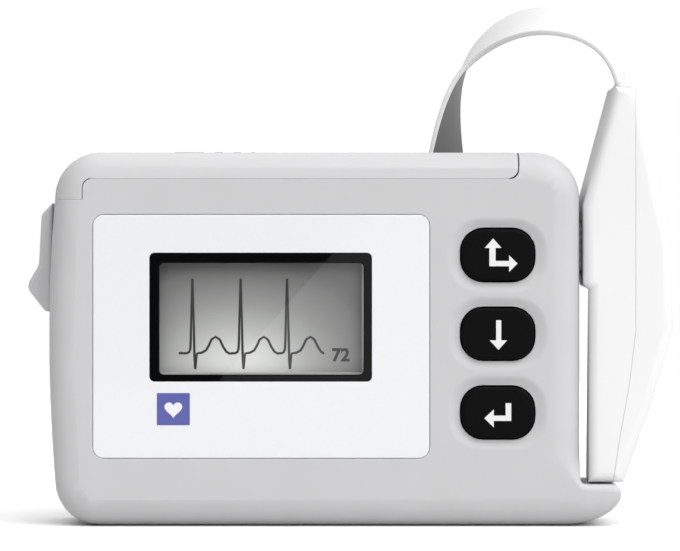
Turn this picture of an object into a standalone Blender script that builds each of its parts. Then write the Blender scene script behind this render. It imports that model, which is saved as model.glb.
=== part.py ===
"""Pocket holter recorder with a docked lead block and its flat ribbon lead.

Metres, +Z up. The recorder stands on its flat bottom face, as it is held when it is read.
The origin is the middle of that face, +X is the reader's right and +Y is away from the reader.
"""

import math

import bmesh
import bpy
from mathutils import Vector

MM = 0.001

# Fits
fit_gap = 0.3 * MM  # between pieces that touch
cut_over = 1.5 * MM  # how far a cutter runs past what it cuts

# Recorder body
body_width = 90.0 * MM
body_height = 63.6 * MM
body_depth = 25.0 * MM
body_corner = 7.7 * MM  # corner radius seen from the front
side_crown = 1.0 * MM  # how far the left side swells between its corners
front_round = 4.5 * MM
back_round = 3.5 * MM
wall = 0.08 * body_depth
front_shell_depth = 0.34 * body_depth  # from the face to the parting line

# Lip under the lead block
lip_length = 7.0 * MM
lip_height = 7.1 * MM
lip_toe_length = 10.6 * MM  # the curve under its end
lip_round = 1.4 * MM
lip_edge = 1.1 * MM  # its front and back edges along the top
lip_hollow = 1.0 * MM  # the inner corner where it meets the side
lip_blend = 5.0 * MM  # the height over which its edge grows into the body's

# Face label, display and its bezel
label_margin = 0.08333 * body_width  # from the body's left side
label_bottom = 0.18711 * body_height
label_above_bezel = 6.2 * MM  # from the bezel's top to the label's
label_corner = 1.7 * MM
label_thickness = 0.6 * MM
label_key_gap = 0.03556 * body_width  # from the label to the key dishes
bezel_width = 0.42 * body_width
bezel_above_tray = 0.144 * body_depth  # how far it reaches above the cell tray's floor
bezel_corner = 0.9 * MM
bezel_from_label_left = 0.10333 * body_width
bezel_from_label_bottom = 0.19969 * body_height
bezel_side_lip = 1.6 * MM
bezel_top_lip = 1.6 * MM
bezel_lip_thickness = 0.024 * body_depth
bezel_wall = 0.6 * MM
window_thickness = 0.032 * body_depth
lcd_thickness = 0.128 * body_depth

# Keys and their dishes
key_width = 0.13889 * body_width
key_height = 0.14151 * body_height
key_corner = 0.4111 * key_height
key_pitch = 0.20991 * body_height
key_lowest = 0.30503 * body_height  # centre of the lowest key
key_column_inset = 0.15667 * body_width  # from the body's right side to the keys' centres
key_proud = 0.4 * MM
key_edge_round = 0.5 * MM
key_flange = 0.8 * MM  # how far the flange reaches past the cap
key_flange_thickness = 0.8 * MM
key_count = 3
dish_width = 0.19111 * body_width
dish_height = 0.20126 * body_height
dish_corner = 0.42188 * dish_height
dish_depth = 1.0 * MM
dish_slope = 1.6 * MM  # how far the dish draws in over its depth

# Boards and what they carry
board_thickness = 0.048 * body_depth
board_margin = 0.11667 * body_width  # from the body's sides
board_bottom = 4.5 * MM
board_below_tray = 0.6 * MM
switch_side = 6.0 * MM
switch_thickness = 0.8 * MM
switch_button_radius = 1.5 * MM
processor_side = 12.0 * MM
processor_thickness = 1.5 * MM
memory_chip_width = 10.0 * MM
memory_chip_height = 7.0 * MM
memory_chip_thickness = 1.1 * MM
sounder_radius = 4.5 * MM
sounder_thickness = 3.0 * MM
post_radius = 1.6 * MM

# Cell, its tray and contacts
cell_radius = 0.29 * body_depth
cell_length = 0.54667 * body_width
cell_nub_radius = 2.6 * MM
cell_nub_length = 1.2 * MM
cell_below_top = 4.75 * MM  # from the body's top to the cell
cell_forward = -0.02 * body_depth  # from mid depth to the cell's axis, forward positive
cell_play = 0.018 * body_depth
tray_wall = 0.048 * body_depth
tray_back_wall = 0.08 * body_depth
tray_from_side = 0.09444 * body_width  # from the body's left side to the tray
tray_rim_below_top = 4.9 * MM
tray_cut_up = 0.24 * body_depth  # height of the chamfer along the tray's front bottom edge
plate_thickness = 0.6 * MM
plate_height = 8.0 * MM
coil_length = 3.4 * MM
coil_radius = 3.2 * MM
coil_tip_radius = 1.8 * MM
coil_wire = 0.5 * MM
coil_curls = 3
card_width = 0.44 * body_depth
card_height = 0.6 * body_depth
card_thickness = 1.0 * MM
card_bottom_above_tray = 1.4 * MM
card_socket_wall = 0.028 * body_depth
card_socket_height = 0.44 * body_depth
card_from_divider = 0.04 * body_width

# Compartment door and its hinge
door_end_inset = 0.12 * body_width  # from the body's right side to the door's end
door_skirt = 4.3 * MM  # how far the door reaches down the face
door_left_drop = 7.8 * MM  # how far it reaches down the left side
door_left_reach = 5.2 * MM  # how far along the face that drop goes
door_curl = 1.5 * MM  # radius of the seam's turns
door_back_strip = 0.18 * body_depth  # the strip of rear housing behind the door
hinge_inset = 1.3 * MM  # from the door's end and its top to the pin's centre
hinge_relief = 2.1 * MM  # hollow round the pin in the fixed housings
hinge_bar_depth = 2.6 * MM
pin_radius = 0.5 * MM
pin_play = 0.3 * MM
post_thickness = 2.0 * MM
post_half_width = 1.1 * MM
post_from_middle = 0.172 * body_depth

# Door latch
latch_height = 17.8 * MM
latch_below_top = 9.4 * MM  # from the body's top
latch_depth = 0.36 * body_depth
latch_behind_middle = 0.12 * body_depth
latch_proud = 1.7 * MM
latch_nub = 3.9 * MM  # how far the nub stands out of the side
latch_travel = 3.0 * MM
latch_stem_depth = 4.0 * MM
latch_stem_height = 5.0 * MM
latch_plate_thickness = 1.2 * MM
latch_plate_depth = 0.32 * body_depth
latch_plate_clear = 2.4 * MM  # from the side wall's inner face to the plate
latch_plate_height = 12.0 * MM
latch_tongue_depth = 5.0 * MM
latch_tongue_reach = 1.3 * MM  # above the door's lower edge
spring_radius = 1.5 * MM
spring_wire = 0.4 * MM
spring_curls = 5
spring_length = 7.0 * MM
spring_shelf = 1.4 * MM

# Input socket and the ribbon's plug, on the back
socket_width = 0.20444 * body_width
socket_height = 16.4 * MM
socket_depth = 4.4 * MM
socket_wall = 0.9 * MM
socket_from_right = 0.25 * body_width
socket_centre = 0.39308 * body_height
plug_depth = 5.6 * MM
plug_round = 0.8 * MM

# Housing screws
screw_head_radius = 1.9 * MM
screw_head_thickness = 1.3 * MM
screw_radius = 0.9 * MM
screw_play = 0.3 * MM
screw_sunk = 5.0 * MM
screw_bite = 4.2 * MM  # length in the front housing
boss_wall = 1.5 * MM
screw_edge_inset = 6.4 * MM
screw_low = 6.6 * MM
screw_below_top = 6.2 * MM
screw_mid_below_top = 36.1 * MM  # the screw between the latch spring and the bottom

# Lead block
block_gap = 0.6 * MM  # from the recorder's side
block_lift = 0.3 * MM  # over the lip
block_width = 15.3 * MM
block_height = 1.06132 * body_height
block_depth = 21.0 * MM
block_round = 1.8 * MM
block_wall = 1.6 * MM
block_seam_inset = 6.6 * MM  # from its right side to the seam between its shells
block_board_thickness = 1.2 * MM
block_board_depth = 15.0 * MM

# Patient lead sockets
lead_socket_radius = 2.2 * MM
lead_bore_radius = 1.0 * MM
lead_bore_depth = 3.0 * MM
lead_socket_length = 4.0 * MM
lead_socket_proud = 0.3 * MM
lead_column_spacing = 9.0 * MM

# Dock between the recorder and the block
dock_bottom = 0.66038 * body_height
dock_height = 0.1761 * body_height
dock_depth = 12.0 * MM
dock_reach = 4.2 * MM  # into the recorder
dock_wall = 1.1 * MM
dock_play = 0.4 * MM
dock_plug_length = 6.0 * MM

# Ribbon lead, its gland, and its route's middle line from the gland to the plug. A place is given
# as its share of the way back from the plug to the gland, its share of the body's half depth,
# its share of the height from the plug's top to the block's top, and the tilt in degrees
ribbon_width = 12.0 * MM
ribbon_thickness = 1.3 * MM
gland_width = 3.8 * MM
gland_height = 4.2 * MM
gland_wall = 0.8 * MM
ribbon_steps = 5  # sections between two places of the route
ribbon_route_shares = [
    (1.0, 0.0, 0.9203, 0),
    (1.0, 0.0, 1.0121, 0),
    (0.93, 0.032, 1.157, 8),
    (0.79, 0.144, 1.2536, 18),
    (0.5567, 0.464, 1.3068, 25),
    (0.3467, 0.896, 1.2585, 21),
    (0.1967, 1.2, 1.157, 9),
    (0.1033, 1.384, 1.0411, -3),
    (0.0533, 1.472, 0.8961, -15),
    (0.0233, 1.464, 0.7319, -27),
    (0.0067, 1.408, 0.5435, -45),
    (0.0, 1.256, 0.3406, -70),
    (0.0, 1.112, 0.1618, -87),
    (0.0, 1.084, 0.0, -90),
]

# Smoothness of the turned and rounded shapes
corner_steps = 7
round_steps = 4
turned_sides = 20
small_sides = 12
smooth_angle = math.radians(32)

# The block's outline, as shares of its width and height, from the bottom left and upward
block_outline_shares = [
    (0.451, 0.0), (0.778, 0.209), (1.0, 0.385), (0.98, 0.5985), (0.889, 0.70),
    (0.614, 0.993), (0.307, 1.0), (0.0, 0.70), (0.0, 0.498), (0.06, 0.487), (0.06, 0.0),
]
# The rows of sockets: the edge of that outline that carries each, and the place along it
socket_row_shares = [(0, 0.42), (1, 0.48), (2, 0.42), (4, 0.25), (4, 0.60)]
# The seam between the block's shells, inward from the vertical run, at shares of its height
block_seam_shares = [(0.0, -0.62), (0.11, -0.42), (0.25, -0.16), (0.385, 0.0), (1.2, 0.0)]
# The latch seen from the front: outward in shares of its nub, down in shares of its height
latch_outline_shares = [
    (0.0, 0.0), (0.30, 0.02), (0.42, 0.07), (0.50, 0.55), (0.74, 0.62), (0.96, 0.70),
    (1.0, 0.75), (0.94, 0.81), (0.34, 0.97), (0.22, 1.0), (0.0, 1.0),
]

# Places that follow from the sizes
body_left = -body_width / 2
body_right = body_width / 2
face_y = -body_depth / 2
back_y = body_depth / 2
inner_face_y = face_y + wall
inner_back_y = back_y - wall
split_y = face_y + front_shell_depth
key_x = body_right - key_column_inset
label_left = body_left + label_margin
label_right = key_x - dish_width / 2 - label_key_gap
bezel_left = label_left + bezel_from_label_left
bezel_bottom = label_bottom + bezel_from_label_bottom
bezel_x = bezel_left + bezel_width / 2
window_y = face_y + bezel_lip_thickness + fit_gap
lcd_y = window_y + window_thickness + fit_gap
board_y = lcd_y + lcd_thickness + fit_gap
board_back_y = board_y + board_thickness
cell_y = -cell_forward
cell_z = body_height - cell_below_top - cell_radius
tray_left = body_left + tray_from_side
tray_inner_half = cell_radius + cell_play
tray_floor_top = cell_z - tray_inner_half + cell_play / 2
tray_bottom = tray_floor_top - tray_wall
tray_front_y = cell_y - tray_inner_half - tray_wall
bezel_top = tray_bottom + bezel_above_tray
bezel_height = bezel_top - bezel_bottom
bezel_z = bezel_bottom + bezel_height / 2
label_top = bezel_top + label_above_bezel
tray_clear = lcd_y + lcd_thickness + fit_gap - tray_front_y  # from the tray's front to the bezel
tray_cut_back = tray_clear / (1 - bezel_above_tray / tray_cut_up)
tray_rim = body_height - tray_rim_below_top
door_right = body_right - door_end_inset
door_seam = body_height - door_skirt
door_left_seam = body_height - door_left_drop
door_back = back_y - door_back_strip
hinge_x = door_right - hinge_inset
hinge_z = body_height - hinge_inset
cell_left = tray_left + tray_wall + coil_length + 2 * fit_gap
cell_right = cell_left + cell_length + cell_nub_length
divider_x = cell_right + plate_thickness + 2 * fit_gap
bay_left = divider_x + tray_wall
card_x = bay_left + card_from_divider
latch_y = latch_behind_middle
latch_top = body_height - latch_below_top
latch_bottom = latch_top - latch_height
socket_x = body_right - socket_from_right
socket_front = back_y - socket_depth
block_left = body_right + block_gap
block_right = block_left + block_width
block_bottom = lip_height + block_lift
block_top = block_bottom + block_height
block_seam_x = block_right - block_seam_inset
gland_x = block_left + 0.451 * block_width
ribbon_end_z = socket_centre + socket_height / 2 + fit_gap


# Outlines


def arc(centre, radii, start, end, steps):
    """Points along a quarter or any part of an ellipse, angles in degrees."""
    found = []
    for i in range(steps + 1):
        angle = math.radians(start + (end - start) * i / steps)
        found.append((centre[0] + radii[0] * math.cos(angle), centre[1] + radii[1] * math.sin(angle)))
    return found


def rounded_rectangle(left, right, bottom, top, corner, steps=corner_steps):
    r = (corner, corner)
    return (
        arc((right - corner, bottom + corner), r, -90, 0, steps)
        + arc((right - corner, top - corner), r, 0, 90, steps)
        + arc((left + corner, top - corner), r, 90, 180, steps)
        + arc((left + corner, bottom + corner), r, 180, 270, steps)
    )


def body_outline():
    """The recorder seen from the front, with the left side's gentle swell."""
    r = (body_corner, body_corner)
    low = body_left + side_crown / 2
    points = arc((body_right - body_corner, body_corner), r, -90, 0, corner_steps)
    points += arc((body_right - body_corner, body_height - body_corner), r, 0, 90, corner_steps)
    points += arc((low + body_corner, body_height - body_corner), r, 90, 180, corner_steps)
    half = body_height / 2 - body_corner
    for i in range(1, corner_steps):
        share = 1 - 2 * i / corner_steps
        points.append((low - side_crown * (1 - share * share), body_height / 2 + share * half))
    points += arc((low + body_corner, body_corner), r, 180, 270, corner_steps)
    return points


def recorder_outline(edge):
    """The body with the lip under the lead block, and the edge rounding at each point."""
    tip = body_right + lip_length
    shoulder = lip_height - lip_round
    toe = arc((tip - lip_toe_length, shoulder), (lip_toe_length, shoulder), -90, 0, 2 * round_steps)
    crest = arc((tip - lip_round, shoulder), (lip_round, lip_round), 0, 90, round_steps)[1:]
    hollow = arc((body_right + lip_hollow, lip_height + lip_hollow), (lip_hollow, lip_hollow),
                 270, 180, round_steps)
    rest = body_outline()[corner_steps + 1:]
    edges = [edge + (lip_edge - edge) * i / (len(toe) - 1) for i in range(len(toe))]
    edges += [lip_edge] * (len(crest) + len(hollow))
    edges += [edge] * (len(rest) + 1)
    return toe + crest + hollow + [(body_right, lip_height + lip_blend)] + rest, edges


def inset(points, distance):
    """The outline drawn in by a distance, one for all points or one for each.

    The outline runs anticlockwise.
    """
    distances = distance if isinstance(distance, list) else [distance] * len(points)
    found = []
    for i, point in enumerate(points):
        here = Vector(point)
        before = (here - Vector(points[i - 1])).normalized()
        after = (Vector(points[(i + 1) % len(points)]) - here).normalized()
        a = Vector((-before.y, before.x))
        b = Vector((-after.y, after.x))
        found.append(tuple(here + (a + b) * (distances[i] / (1 + a.dot(b)))))
    return found


# Meshes


def make_object(name, mesh_data, smooth=True):
    bmesh.ops.remove_doubles(mesh_data, verts=mesh_data.verts, dist=cut_over / 10000)
    bmesh.ops.recalc_face_normals(mesh_data, faces=mesh_data.faces)
    mesh = bpy.data.meshes.new(name)
    mesh_data.to_mesh(mesh)
    mesh_data.free()
    made = bpy.data.objects.new(name, mesh)
    bpy.context.scene.collection.objects.link(made)
    if smooth:
        mesh.shade_smooth()
        mesh.set_sharp_from_angle(angle=smooth_angle)
    return made


def skin(name, rings):
    """One closed body through rings of as many points each, with flat ends."""
    data = bmesh.new()
    loops = [[data.verts.new(point) for point in ring] for ring in rings]
    for one, other in zip(loops, loops[1:]):
        for i in range(len(one)):
            j = (i + 1) % len(one)
            data.faces.new((one[i], one[j], other[j], other[i]))
    data.faces.new(loops[0])
    data.faces.new(reversed(loops[-1]))
    return make_object(name, data)


def slab(name, outline, front, back, front_edge=0.0, back_edge=0.0):
    """An outline in X and Z run from front to back along Y, with rounded front and back edges.

    An edge is one radius for all points of the outline, or a list with one for each.
    """
    rings = []
    for edge, at, way in ((front_edge, front, 1), (back_edge, back, -1)):
        edges = edge if isinstance(edge, list) else [edge] * len(outline)
        part = []
        for i in range(round_steps + 1 if max(edges) else 1):
            angle = math.radians(90 * i / round_steps)
            points = inset(outline, [e * (1 - math.sin(angle)) for e in edges])
            part.append([(x, at + way * e * (1 - math.cos(angle)), z)
                         for (x, z), e in zip(points, edges)])
        rings += part if way > 0 else part[::-1]
    return skin(name, rings)


def block_of(name, low, high):
    """A plain box between two corners."""
    (x0, y0, z0), (x1, y1, z1) = low, high
    return slab(name, [(x0, z0), (x1, z0), (x1, z1), (x0, z1)], y0, y1)


def turned(name, start, direction, profile, sides=turned_sides):
    """A turned piece: (distance along the axis, radius) pairs, solid, with flat ends."""
    along = Vector(direction).normalized()
    side = along.orthogonal().normalized()
    other = along.cross(side)
    rings = []
    for distance, radius in profile:
        ring = []
        for i in range(sides):
            angle = 2 * math.pi * i / sides
            ring.append(
                Vector(start) + along * distance
                + side * (radius * math.cos(angle)) + other * (radius * math.sin(angle))
            )
        rings.append(ring)
    return skin(name, rings)


def rod(name, start, direction, radius, length, sides=turned_sides):
    return turned(name, start, direction, [(0.0, radius), (length, radius)], sides)


def cut(piece, *cutters):
    apply_all(piece, cutters, "DIFFERENCE")


def join(piece, *added):
    apply_all(piece, added, "UNION")


def keep(piece, *limits):
    apply_all(piece, limits, "INTERSECT")


def apply_all(piece, tools, operation):
    for tool in tools:
        step = piece.modifiers.new(tool.name, "BOOLEAN")
        step.operation = operation
        step.solver = "EXACT"
        step.object = tool
        tool.hide_render = True
        tool.display_type = "WIRE"


def finish(piece, material, parent=None):
    piece.data.materials.append(material)
    if parent:
        piece.parent = parent
        piece.location -= parent.location
    return piece


def pivot(name, place):
    made = bpy.data.objects.new(name, None)
    bpy.context.scene.collection.objects.link(made)
    made.location = place
    return made


def finish_material(name, colour, roughness, metallic=0.0, clear=0.0):
    made = bpy.data.materials.new(name)
    made.use_nodes = True
    shader = made.node_tree.nodes["Principled BSDF"]
    shader.inputs["Base Color"].default_value = (*colour, 1)
    shader.inputs["Roughness"].default_value = roughness
    shader.inputs["Metallic"].default_value = metallic
    shader.inputs["Transmission Weight"].default_value = clear
    made.diffuse_color = (*colour, 1)
    return made


# Shapes that several pieces are cut from


def door_outline(grow):
    """The compartment door seen from the front, grown by a clearance."""
    right = door_right + grow
    low = door_seam - grow
    left_low = door_left_seam - grow
    turn = door_left_reach + body_left + grow
    far_left = body_left - side_crown - cut_over
    above = body_height + cut_over
    curl = (door_curl, door_curl)
    points = arc((right - door_curl, low + door_curl), curl, 0, -90, corner_steps)
    points += arc((turn + door_curl, low - door_curl), curl, 90, 180, corner_steps)
    points += [(turn, left_low), (far_left, left_low), (far_left, above), (right, above)]
    return points[::-1]


def screw_places():
    """The housing screws, as (x, z)."""
    left = body_left + screw_edge_inset
    right = body_right - screw_edge_inset
    return [
        (left, screw_low), (right, screw_low),
        (right + fit_gap, body_height - screw_below_top), (left, body_height - screw_mid_below_top),
    ]


def cavity(name, drawn_in=wall):
    """The space inside the recorder."""
    return slab(
        name, inset(body_outline(), drawn_in), face_y + drawn_in, back_y - drawn_in,
        front_round - wall, back_round - wall,
    )


def recorder_blank(name):
    """The recorder's whole outer form, lip included."""
    outline, front_edges = recorder_outline(front_round)
    back_edges = recorder_outline(back_round)[1]
    return slab(name, outline, face_y, back_y, front_edges, back_edges)


def door_cutter(name):
    """What the door takes out of the housings: its own shape and the relief round the hinge."""
    made = slab(name, door_outline(fit_gap), face_y - cut_over, door_back + fit_gap)
    relief = rod(
        name + "_relief", (hinge_x, face_y - cut_over, hinge_z), (0, 1, 0), hinge_relief,
        door_back + fit_gap - face_y + cut_over,
    )
    join(made, relief)
    return made


def dock_cutter(name):
    return block_of(
        name,
        (body_right - dock_reach - fit_gap, -dock_depth / 2 - fit_gap, dock_bottom - fit_gap),
        (body_right + cut_over, dock_depth / 2 + fit_gap, dock_bottom + dock_height + fit_gap),
    )


# The recorder's housings


def make_front_housing(finish_with, parent):
    housing = recorder_blank("front_housing")
    cut(housing, cavity("front_space"))
    reach = split_y - fit_gap - inner_face_y + wall / 2
    for i, (x, z) in enumerate(screw_places()):
        join(housing, rod(f"front_boss_{i}", (x, inner_face_y - wall / 2, z), (0, 1, 0),
                          screw_radius + screw_play + boss_wall, reach + fit_gap))
    for i, (x, z) in enumerate(board_posts()):
        join(housing, rod(f"board_post_{i}", (x, inner_face_y - wall / 2, z), (0, 1, 0),
                          post_radius, board_y - fit_gap - inner_face_y + wall / 2, small_sides))
    rear = block_of(
        "front_limit", (body_left - 2 * cut_over, split_y, -cut_over),
        (body_right + lip_length + cut_over, back_y + cut_over, body_height + cut_over),
    )
    cut(housing, rear, door_cutter("front_door_space"), dock_cutter("front_dock_space"))
    cut(housing, slab(
        "label_recess",
        rounded_rectangle(label_left - fit_gap, label_right + fit_gap, label_bottom - fit_gap,
                          label_top + fit_gap, label_corner + fit_gap),
        face_y - cut_over, face_y + label_thickness + fit_gap))
    cut(housing, bezel_hole("bezel_hole", face_y - cut_over, inner_face_y + cut_over))
    for i in range(key_count):
        cut(housing, dish(f"dish_{i}", key_z(i)))
        cut(housing, slab(
            f"key_hole_{i}", key_outline(key_z(i), fit_gap), face_y - cut_over,
            inner_face_y + cut_over))
    for i, (x, z) in enumerate(screw_places()):
        cut(housing, rod(f"front_bore_{i}", (x, split_y - screw_bite - fit_gap, z), (0, 1, 0),
                         screw_radius + screw_play, screw_bite + cut_over, small_sides))
    finish(housing, finish_with, parent)


def board_posts():
    """Posts of the front housing that the main board rests on, as (x, z)."""
    left = body_left + board_margin + 2 * post_radius
    right = body_right - board_margin - 2 * post_radius
    low = board_bottom + 2 * post_radius
    high = board_top() - 2 * post_radius
    return [(left, low), (right, low), (left, high)]


def board_top():
    return tray_bottom - board_below_tray


def bezel_hole(name, front, back):
    return slab(
        name,
        rounded_rectangle(bezel_left - fit_gap, bezel_left + bezel_width + fit_gap,
                          bezel_bottom - fit_gap, bezel_top + fit_gap,
                          bezel_corner + fit_gap, round_steps),
        front, back)


def key_z(index):
    return key_lowest + key_pitch * index


def key_outline(z, grow):
    return rounded_rectangle(
        key_x - key_width / 2 - grow, key_x + key_width / 2 + grow,
        z - key_height / 2 - grow, z + key_height / 2 + grow, key_corner + grow)


def dish(name, z):
    """The shallow dish round a key, which draws in toward its floor."""
    outline = rounded_rectangle(
        key_x - dish_width / 2, key_x + dish_width / 2, z - dish_height / 2, z + dish_height / 2,
        dish_corner)
    rings = [[(x, face_y - cut_over, z_) for x, z_ in outline]]
    for i in range(round_steps + 1):
        angle = math.radians(90 * i / round_steps)
        points = inset(outline, dish_slope * (1 - math.cos(angle))) if i else outline
        y = face_y + dish_depth * math.sin(angle)
        rings.append([(x, y, z_) for x, z_ in points])
    return skin(name, rings)


def make_rear_housing(finish_with, parent):
    housing = recorder_blank("rear_housing")
    cut(housing, cavity("rear_space"))
    start = split_y + fit_gap
    for i, (x, z) in enumerate(screw_places()):
        join(housing, rod(f"rear_boss_{i}", (x, start, z), (0, 1, 0),
                          screw_head_radius + screw_play + boss_wall / 2,
                          inner_back_y + wall / 2 - start))
    side = body_left - side_crown / 2 + wall
    join(housing, block_of(
        "spring_shelf",
        (side - wall / 2, latch_y - 2 * spring_radius, spring_bottom() - fit_gap - spring_shelf),
        (latch_plate_x() + 2 * spring_radius, latch_y + 2 * spring_radius,
         spring_bottom() - fit_gap)))
    front = block_of(
        "rear_limit", (body_left - 2 * cut_over, face_y - cut_over, -cut_over),
        (body_right + lip_length + cut_over, start, body_height + cut_over))
    cut(housing, front, door_cutter("rear_door_space"), dock_cutter("rear_dock_space"))
    cut(housing, block_of(
        "input_hole",
        (socket_x - socket_width / 2 - fit_gap, inner_back_y - cut_over,
         socket_centre - socket_height / 2 - fit_gap),
        (socket_x + socket_width / 2 + fit_gap, back_y + cut_over,
         socket_centre + socket_height / 2 + fit_gap)))
    cut(housing, block_of(
        "latch_slot",
        (body_left - side_crown - cut_over, latch_y - latch_stem_depth / 2 - fit_gap,
         stem_bottom() - latch_travel - fit_gap),
        (side + side_crown, latch_y + latch_stem_depth / 2 + fit_gap,
         stem_bottom() + latch_stem_height + fit_gap)))
    for i, (x, z) in enumerate(screw_places()):
        cut(housing, rod(f"rear_bore_{i}", (x, start - cut_over, z), (0, 1, 0),
                         screw_radius + screw_play, body_depth, small_sides))
        cut(housing, rod(f"rear_sink_{i}", (x, back_y - screw_sunk - screw_head_thickness, z),
                         (0, 1, 0), screw_head_radius + screw_play,
                         screw_sunk + screw_head_thickness + cut_over))
    finish(housing, finish_with, parent)


def make_screws(finish_with, parent):
    for i, (x, z) in enumerate(screw_places()):
        under_head = back_y - screw_sunk - screw_head_thickness + fit_gap
        point = split_y - screw_bite
        screw = turned(
            f"housing_screw_{i + 1}", (x, point, z), (0, 1, 0),
            [(0.0, screw_radius / 2), (screw_radius, screw_radius),
             (under_head - point, screw_radius), (under_head - point, screw_head_radius),
             (under_head - point + screw_head_thickness * 0.6, screw_head_radius),
             (under_head - point + screw_head_thickness, screw_head_radius * 0.7)],
            small_sides)
        finish(screw, finish_with, parent)


# The face


def make_label(finish_with, parent):
    label = slab(
        "face_label",
        rounded_rectangle(label_left, label_right, label_bottom, label_top,
                          label_corner),
        face_y, face_y + label_thickness)
    cut(label, bezel_hole("label_hole", face_y - cut_over, face_y + label_thickness + cut_over))
    finish(label, finish_with, parent)


def make_bezel(finish_with, parent):
    right = bezel_left + bezel_width
    top = bezel_top
    bezel = slab("display_bezel",
                 rounded_rectangle(bezel_left, right, bezel_bottom, top, bezel_corner, round_steps),
                 face_y, lcd_y + lcd_thickness)
    cut(bezel, block_of("bezel_sight",
                        (bezel_left + bezel_side_lip, face_y - cut_over,
                         bezel_bottom + bezel_top_lip),
                        (right - bezel_side_lip, lcd_y + cut_over, top - bezel_top_lip)))
    cut(bezel, block_of("bezel_pocket",
                        (bezel_left + bezel_wall, face_y + bezel_lip_thickness,
                         bezel_bottom + bezel_wall),
                        (right - bezel_wall, lcd_y + lcd_thickness + cut_over,
                         top - bezel_wall)))
    finish(bezel, finish_with, parent)


def display_plate(name, front, thickness):
    drawn_in = bezel_wall + fit_gap
    return block_of(
        name, (bezel_left + drawn_in, front, bezel_bottom + drawn_in),
        (bezel_left + bezel_width - drawn_in, front + thickness,
         bezel_top - drawn_in))


def make_keys(finish_with):
    for i, name in enumerate(("key_lower", "key_middle", "key_upper")):
        z = key_z(i)
        front = face_y - key_proud
        flange_front = inner_face_y + fit_gap
        key = slab(name, key_outline(z, 0.0), front, flange_front + key_flange_thickness / 2,
                   key_edge_round)
        flange = slab(name + "_flange", key_outline(z, key_flange), flange_front,
                      flange_front + key_flange_thickness)
        join(key, flange)
        place = pivot(name + "_pivot", (key_x, front, z))
        finish(key, finish_with, place)


def make_switches(finish_with, parent):
    for i in range(key_count):
        z = key_z(i)
        back = board_y - fit_gap
        front = back - switch_thickness
        half = switch_side / 2
        switch = block_of(f"tact_switch_{i + 1}", (key_x - half, front, z - half),
                          (key_x + half, back, z + half))
        button = rod(f"switch_button_{i + 1}", (key_x, front - fit_gap, z), (0, 1, 0),
                     switch_button_radius, switch_thickness, small_sides)
        join(switch, button)
        finish(switch, finish_with, parent)


# The boards


def make_main_board(finish_with, parent):
    right = body_right - board_margin
    board = block_of("main_board", (body_left + board_margin, board_y, board_bottom),
                     (right, board_back_y, board_top()))
    join(board, block_of("board_tab", (bay_left + fit_gap, board_y, board_bottom + wall),
                         (right, board_back_y, key_z(key_count - 1) + switch_side * 0.75)))
    finish(board, finish_with, parent)


def on_board(name, x, z, width, height, thickness):
    front = board_back_y + fit_gap
    return block_of(name, (x - width / 2, front, z - height / 2),
                    (x + width / 2, front + thickness, z + height / 2))


def make_chips(finish_with, parent):
    row = board_bottom + processor_side
    processor = on_board("processor_chip", bezel_x, row, processor_side, processor_side,
                         processor_thickness)
    memory = on_board("memory_chip", bezel_x + 2 * processor_side * 0.75, row, memory_chip_width,
                      memory_chip_height, memory_chip_thickness)
    sounder = rod("sounder", (bezel_left, board_back_y + fit_gap, row), (0, 1, 0),
                  sounder_radius, sounder_thickness)
    for piece in (processor, memory, sounder):
        finish(piece, finish_with, parent)


# The cell and its tray


def tray_section(drawn_in):
    """The tray's trough across the cell, as (y, z), with its front bottom edge cut back."""
    front = tray_front_y + drawn_in
    back = cell_y + tray_inner_half + (tray_back_wall if not drawn_in else 0.0)
    bottom = tray_bottom + drawn_in
    top = tray_rim + (cut_over if drawn_in else 0.0)
    return [(front, top), (front, bottom + tray_cut_up), (front + tray_cut_back, bottom),
            (back, bottom), (back, top)]


def trough(name, left, right, drawn_in):
    return skin(name, [[(x, y, z) for y, z in tray_section(drawn_in)] for x in (left, right)])


def bay_front():
    """The front of the card's bay, just behind the main board."""
    return board_back_y + fit_gap


def make_tray(finish_with, parent):
    right = door_right + fit_gap
    back = cell_y + tray_inner_half
    tray = trough("battery_tray", tray_left, bay_left, 0.0)
    cut(tray, trough("cell_space", tray_left + tray_wall, divider_x, tray_wall))
    join(
        tray,
        block_of("bay_floor", (divider_x, bay_front(), tray_bottom),
                 (right, back + tray_back_wall, tray_bottom + tray_wall)),
        block_of("bay_back", (divider_x, back, tray_bottom),
                 (right, back + tray_back_wall, tray_rim)),
        block_of("bay_end", (right - tray_wall, bay_front(), tray_bottom),
                 (right, back + tray_back_wall, tray_rim)),
    )
    for i, side in enumerate((-1, 1)):
        middle = side * post_from_middle
        lug = rod(f"hinge_lug_{i}", (hinge_x, middle - post_thickness / 2, hinge_z), (0, 1, 0),
                  post_half_width, post_thickness, small_sides)
        upright = block_of(
            f"hinge_post_{i}",
            (hinge_x - post_half_width, middle - post_thickness / 2, tray_bottom + tray_wall / 2),
            (hinge_x + post_half_width, middle + post_thickness / 2, hinge_z))
        join(tray, upright, lug)
    cut(tray, rod("tray_pin_bore", (hinge_x, -body_depth / 2, hinge_z), (0, 1, 0),
                  pin_radius + pin_play * 0.6, body_depth, small_sides))
    finish(tray, finish_with, parent)


def make_cell(finish_with, parent):
    cell = turned(
        "aa_cell", (cell_left, cell_y, cell_z), (1, 0, 0),
        [(0.0, cell_radius * 0.9), (cell_radius * 0.06, cell_radius),
         (cell_length - cell_radius * 0.06, cell_radius), (cell_length, cell_radius * 0.93),
         (cell_length, cell_nub_radius), (cell_length + cell_nub_length, cell_nub_radius)])
    finish(cell, finish_with, parent)


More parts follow.
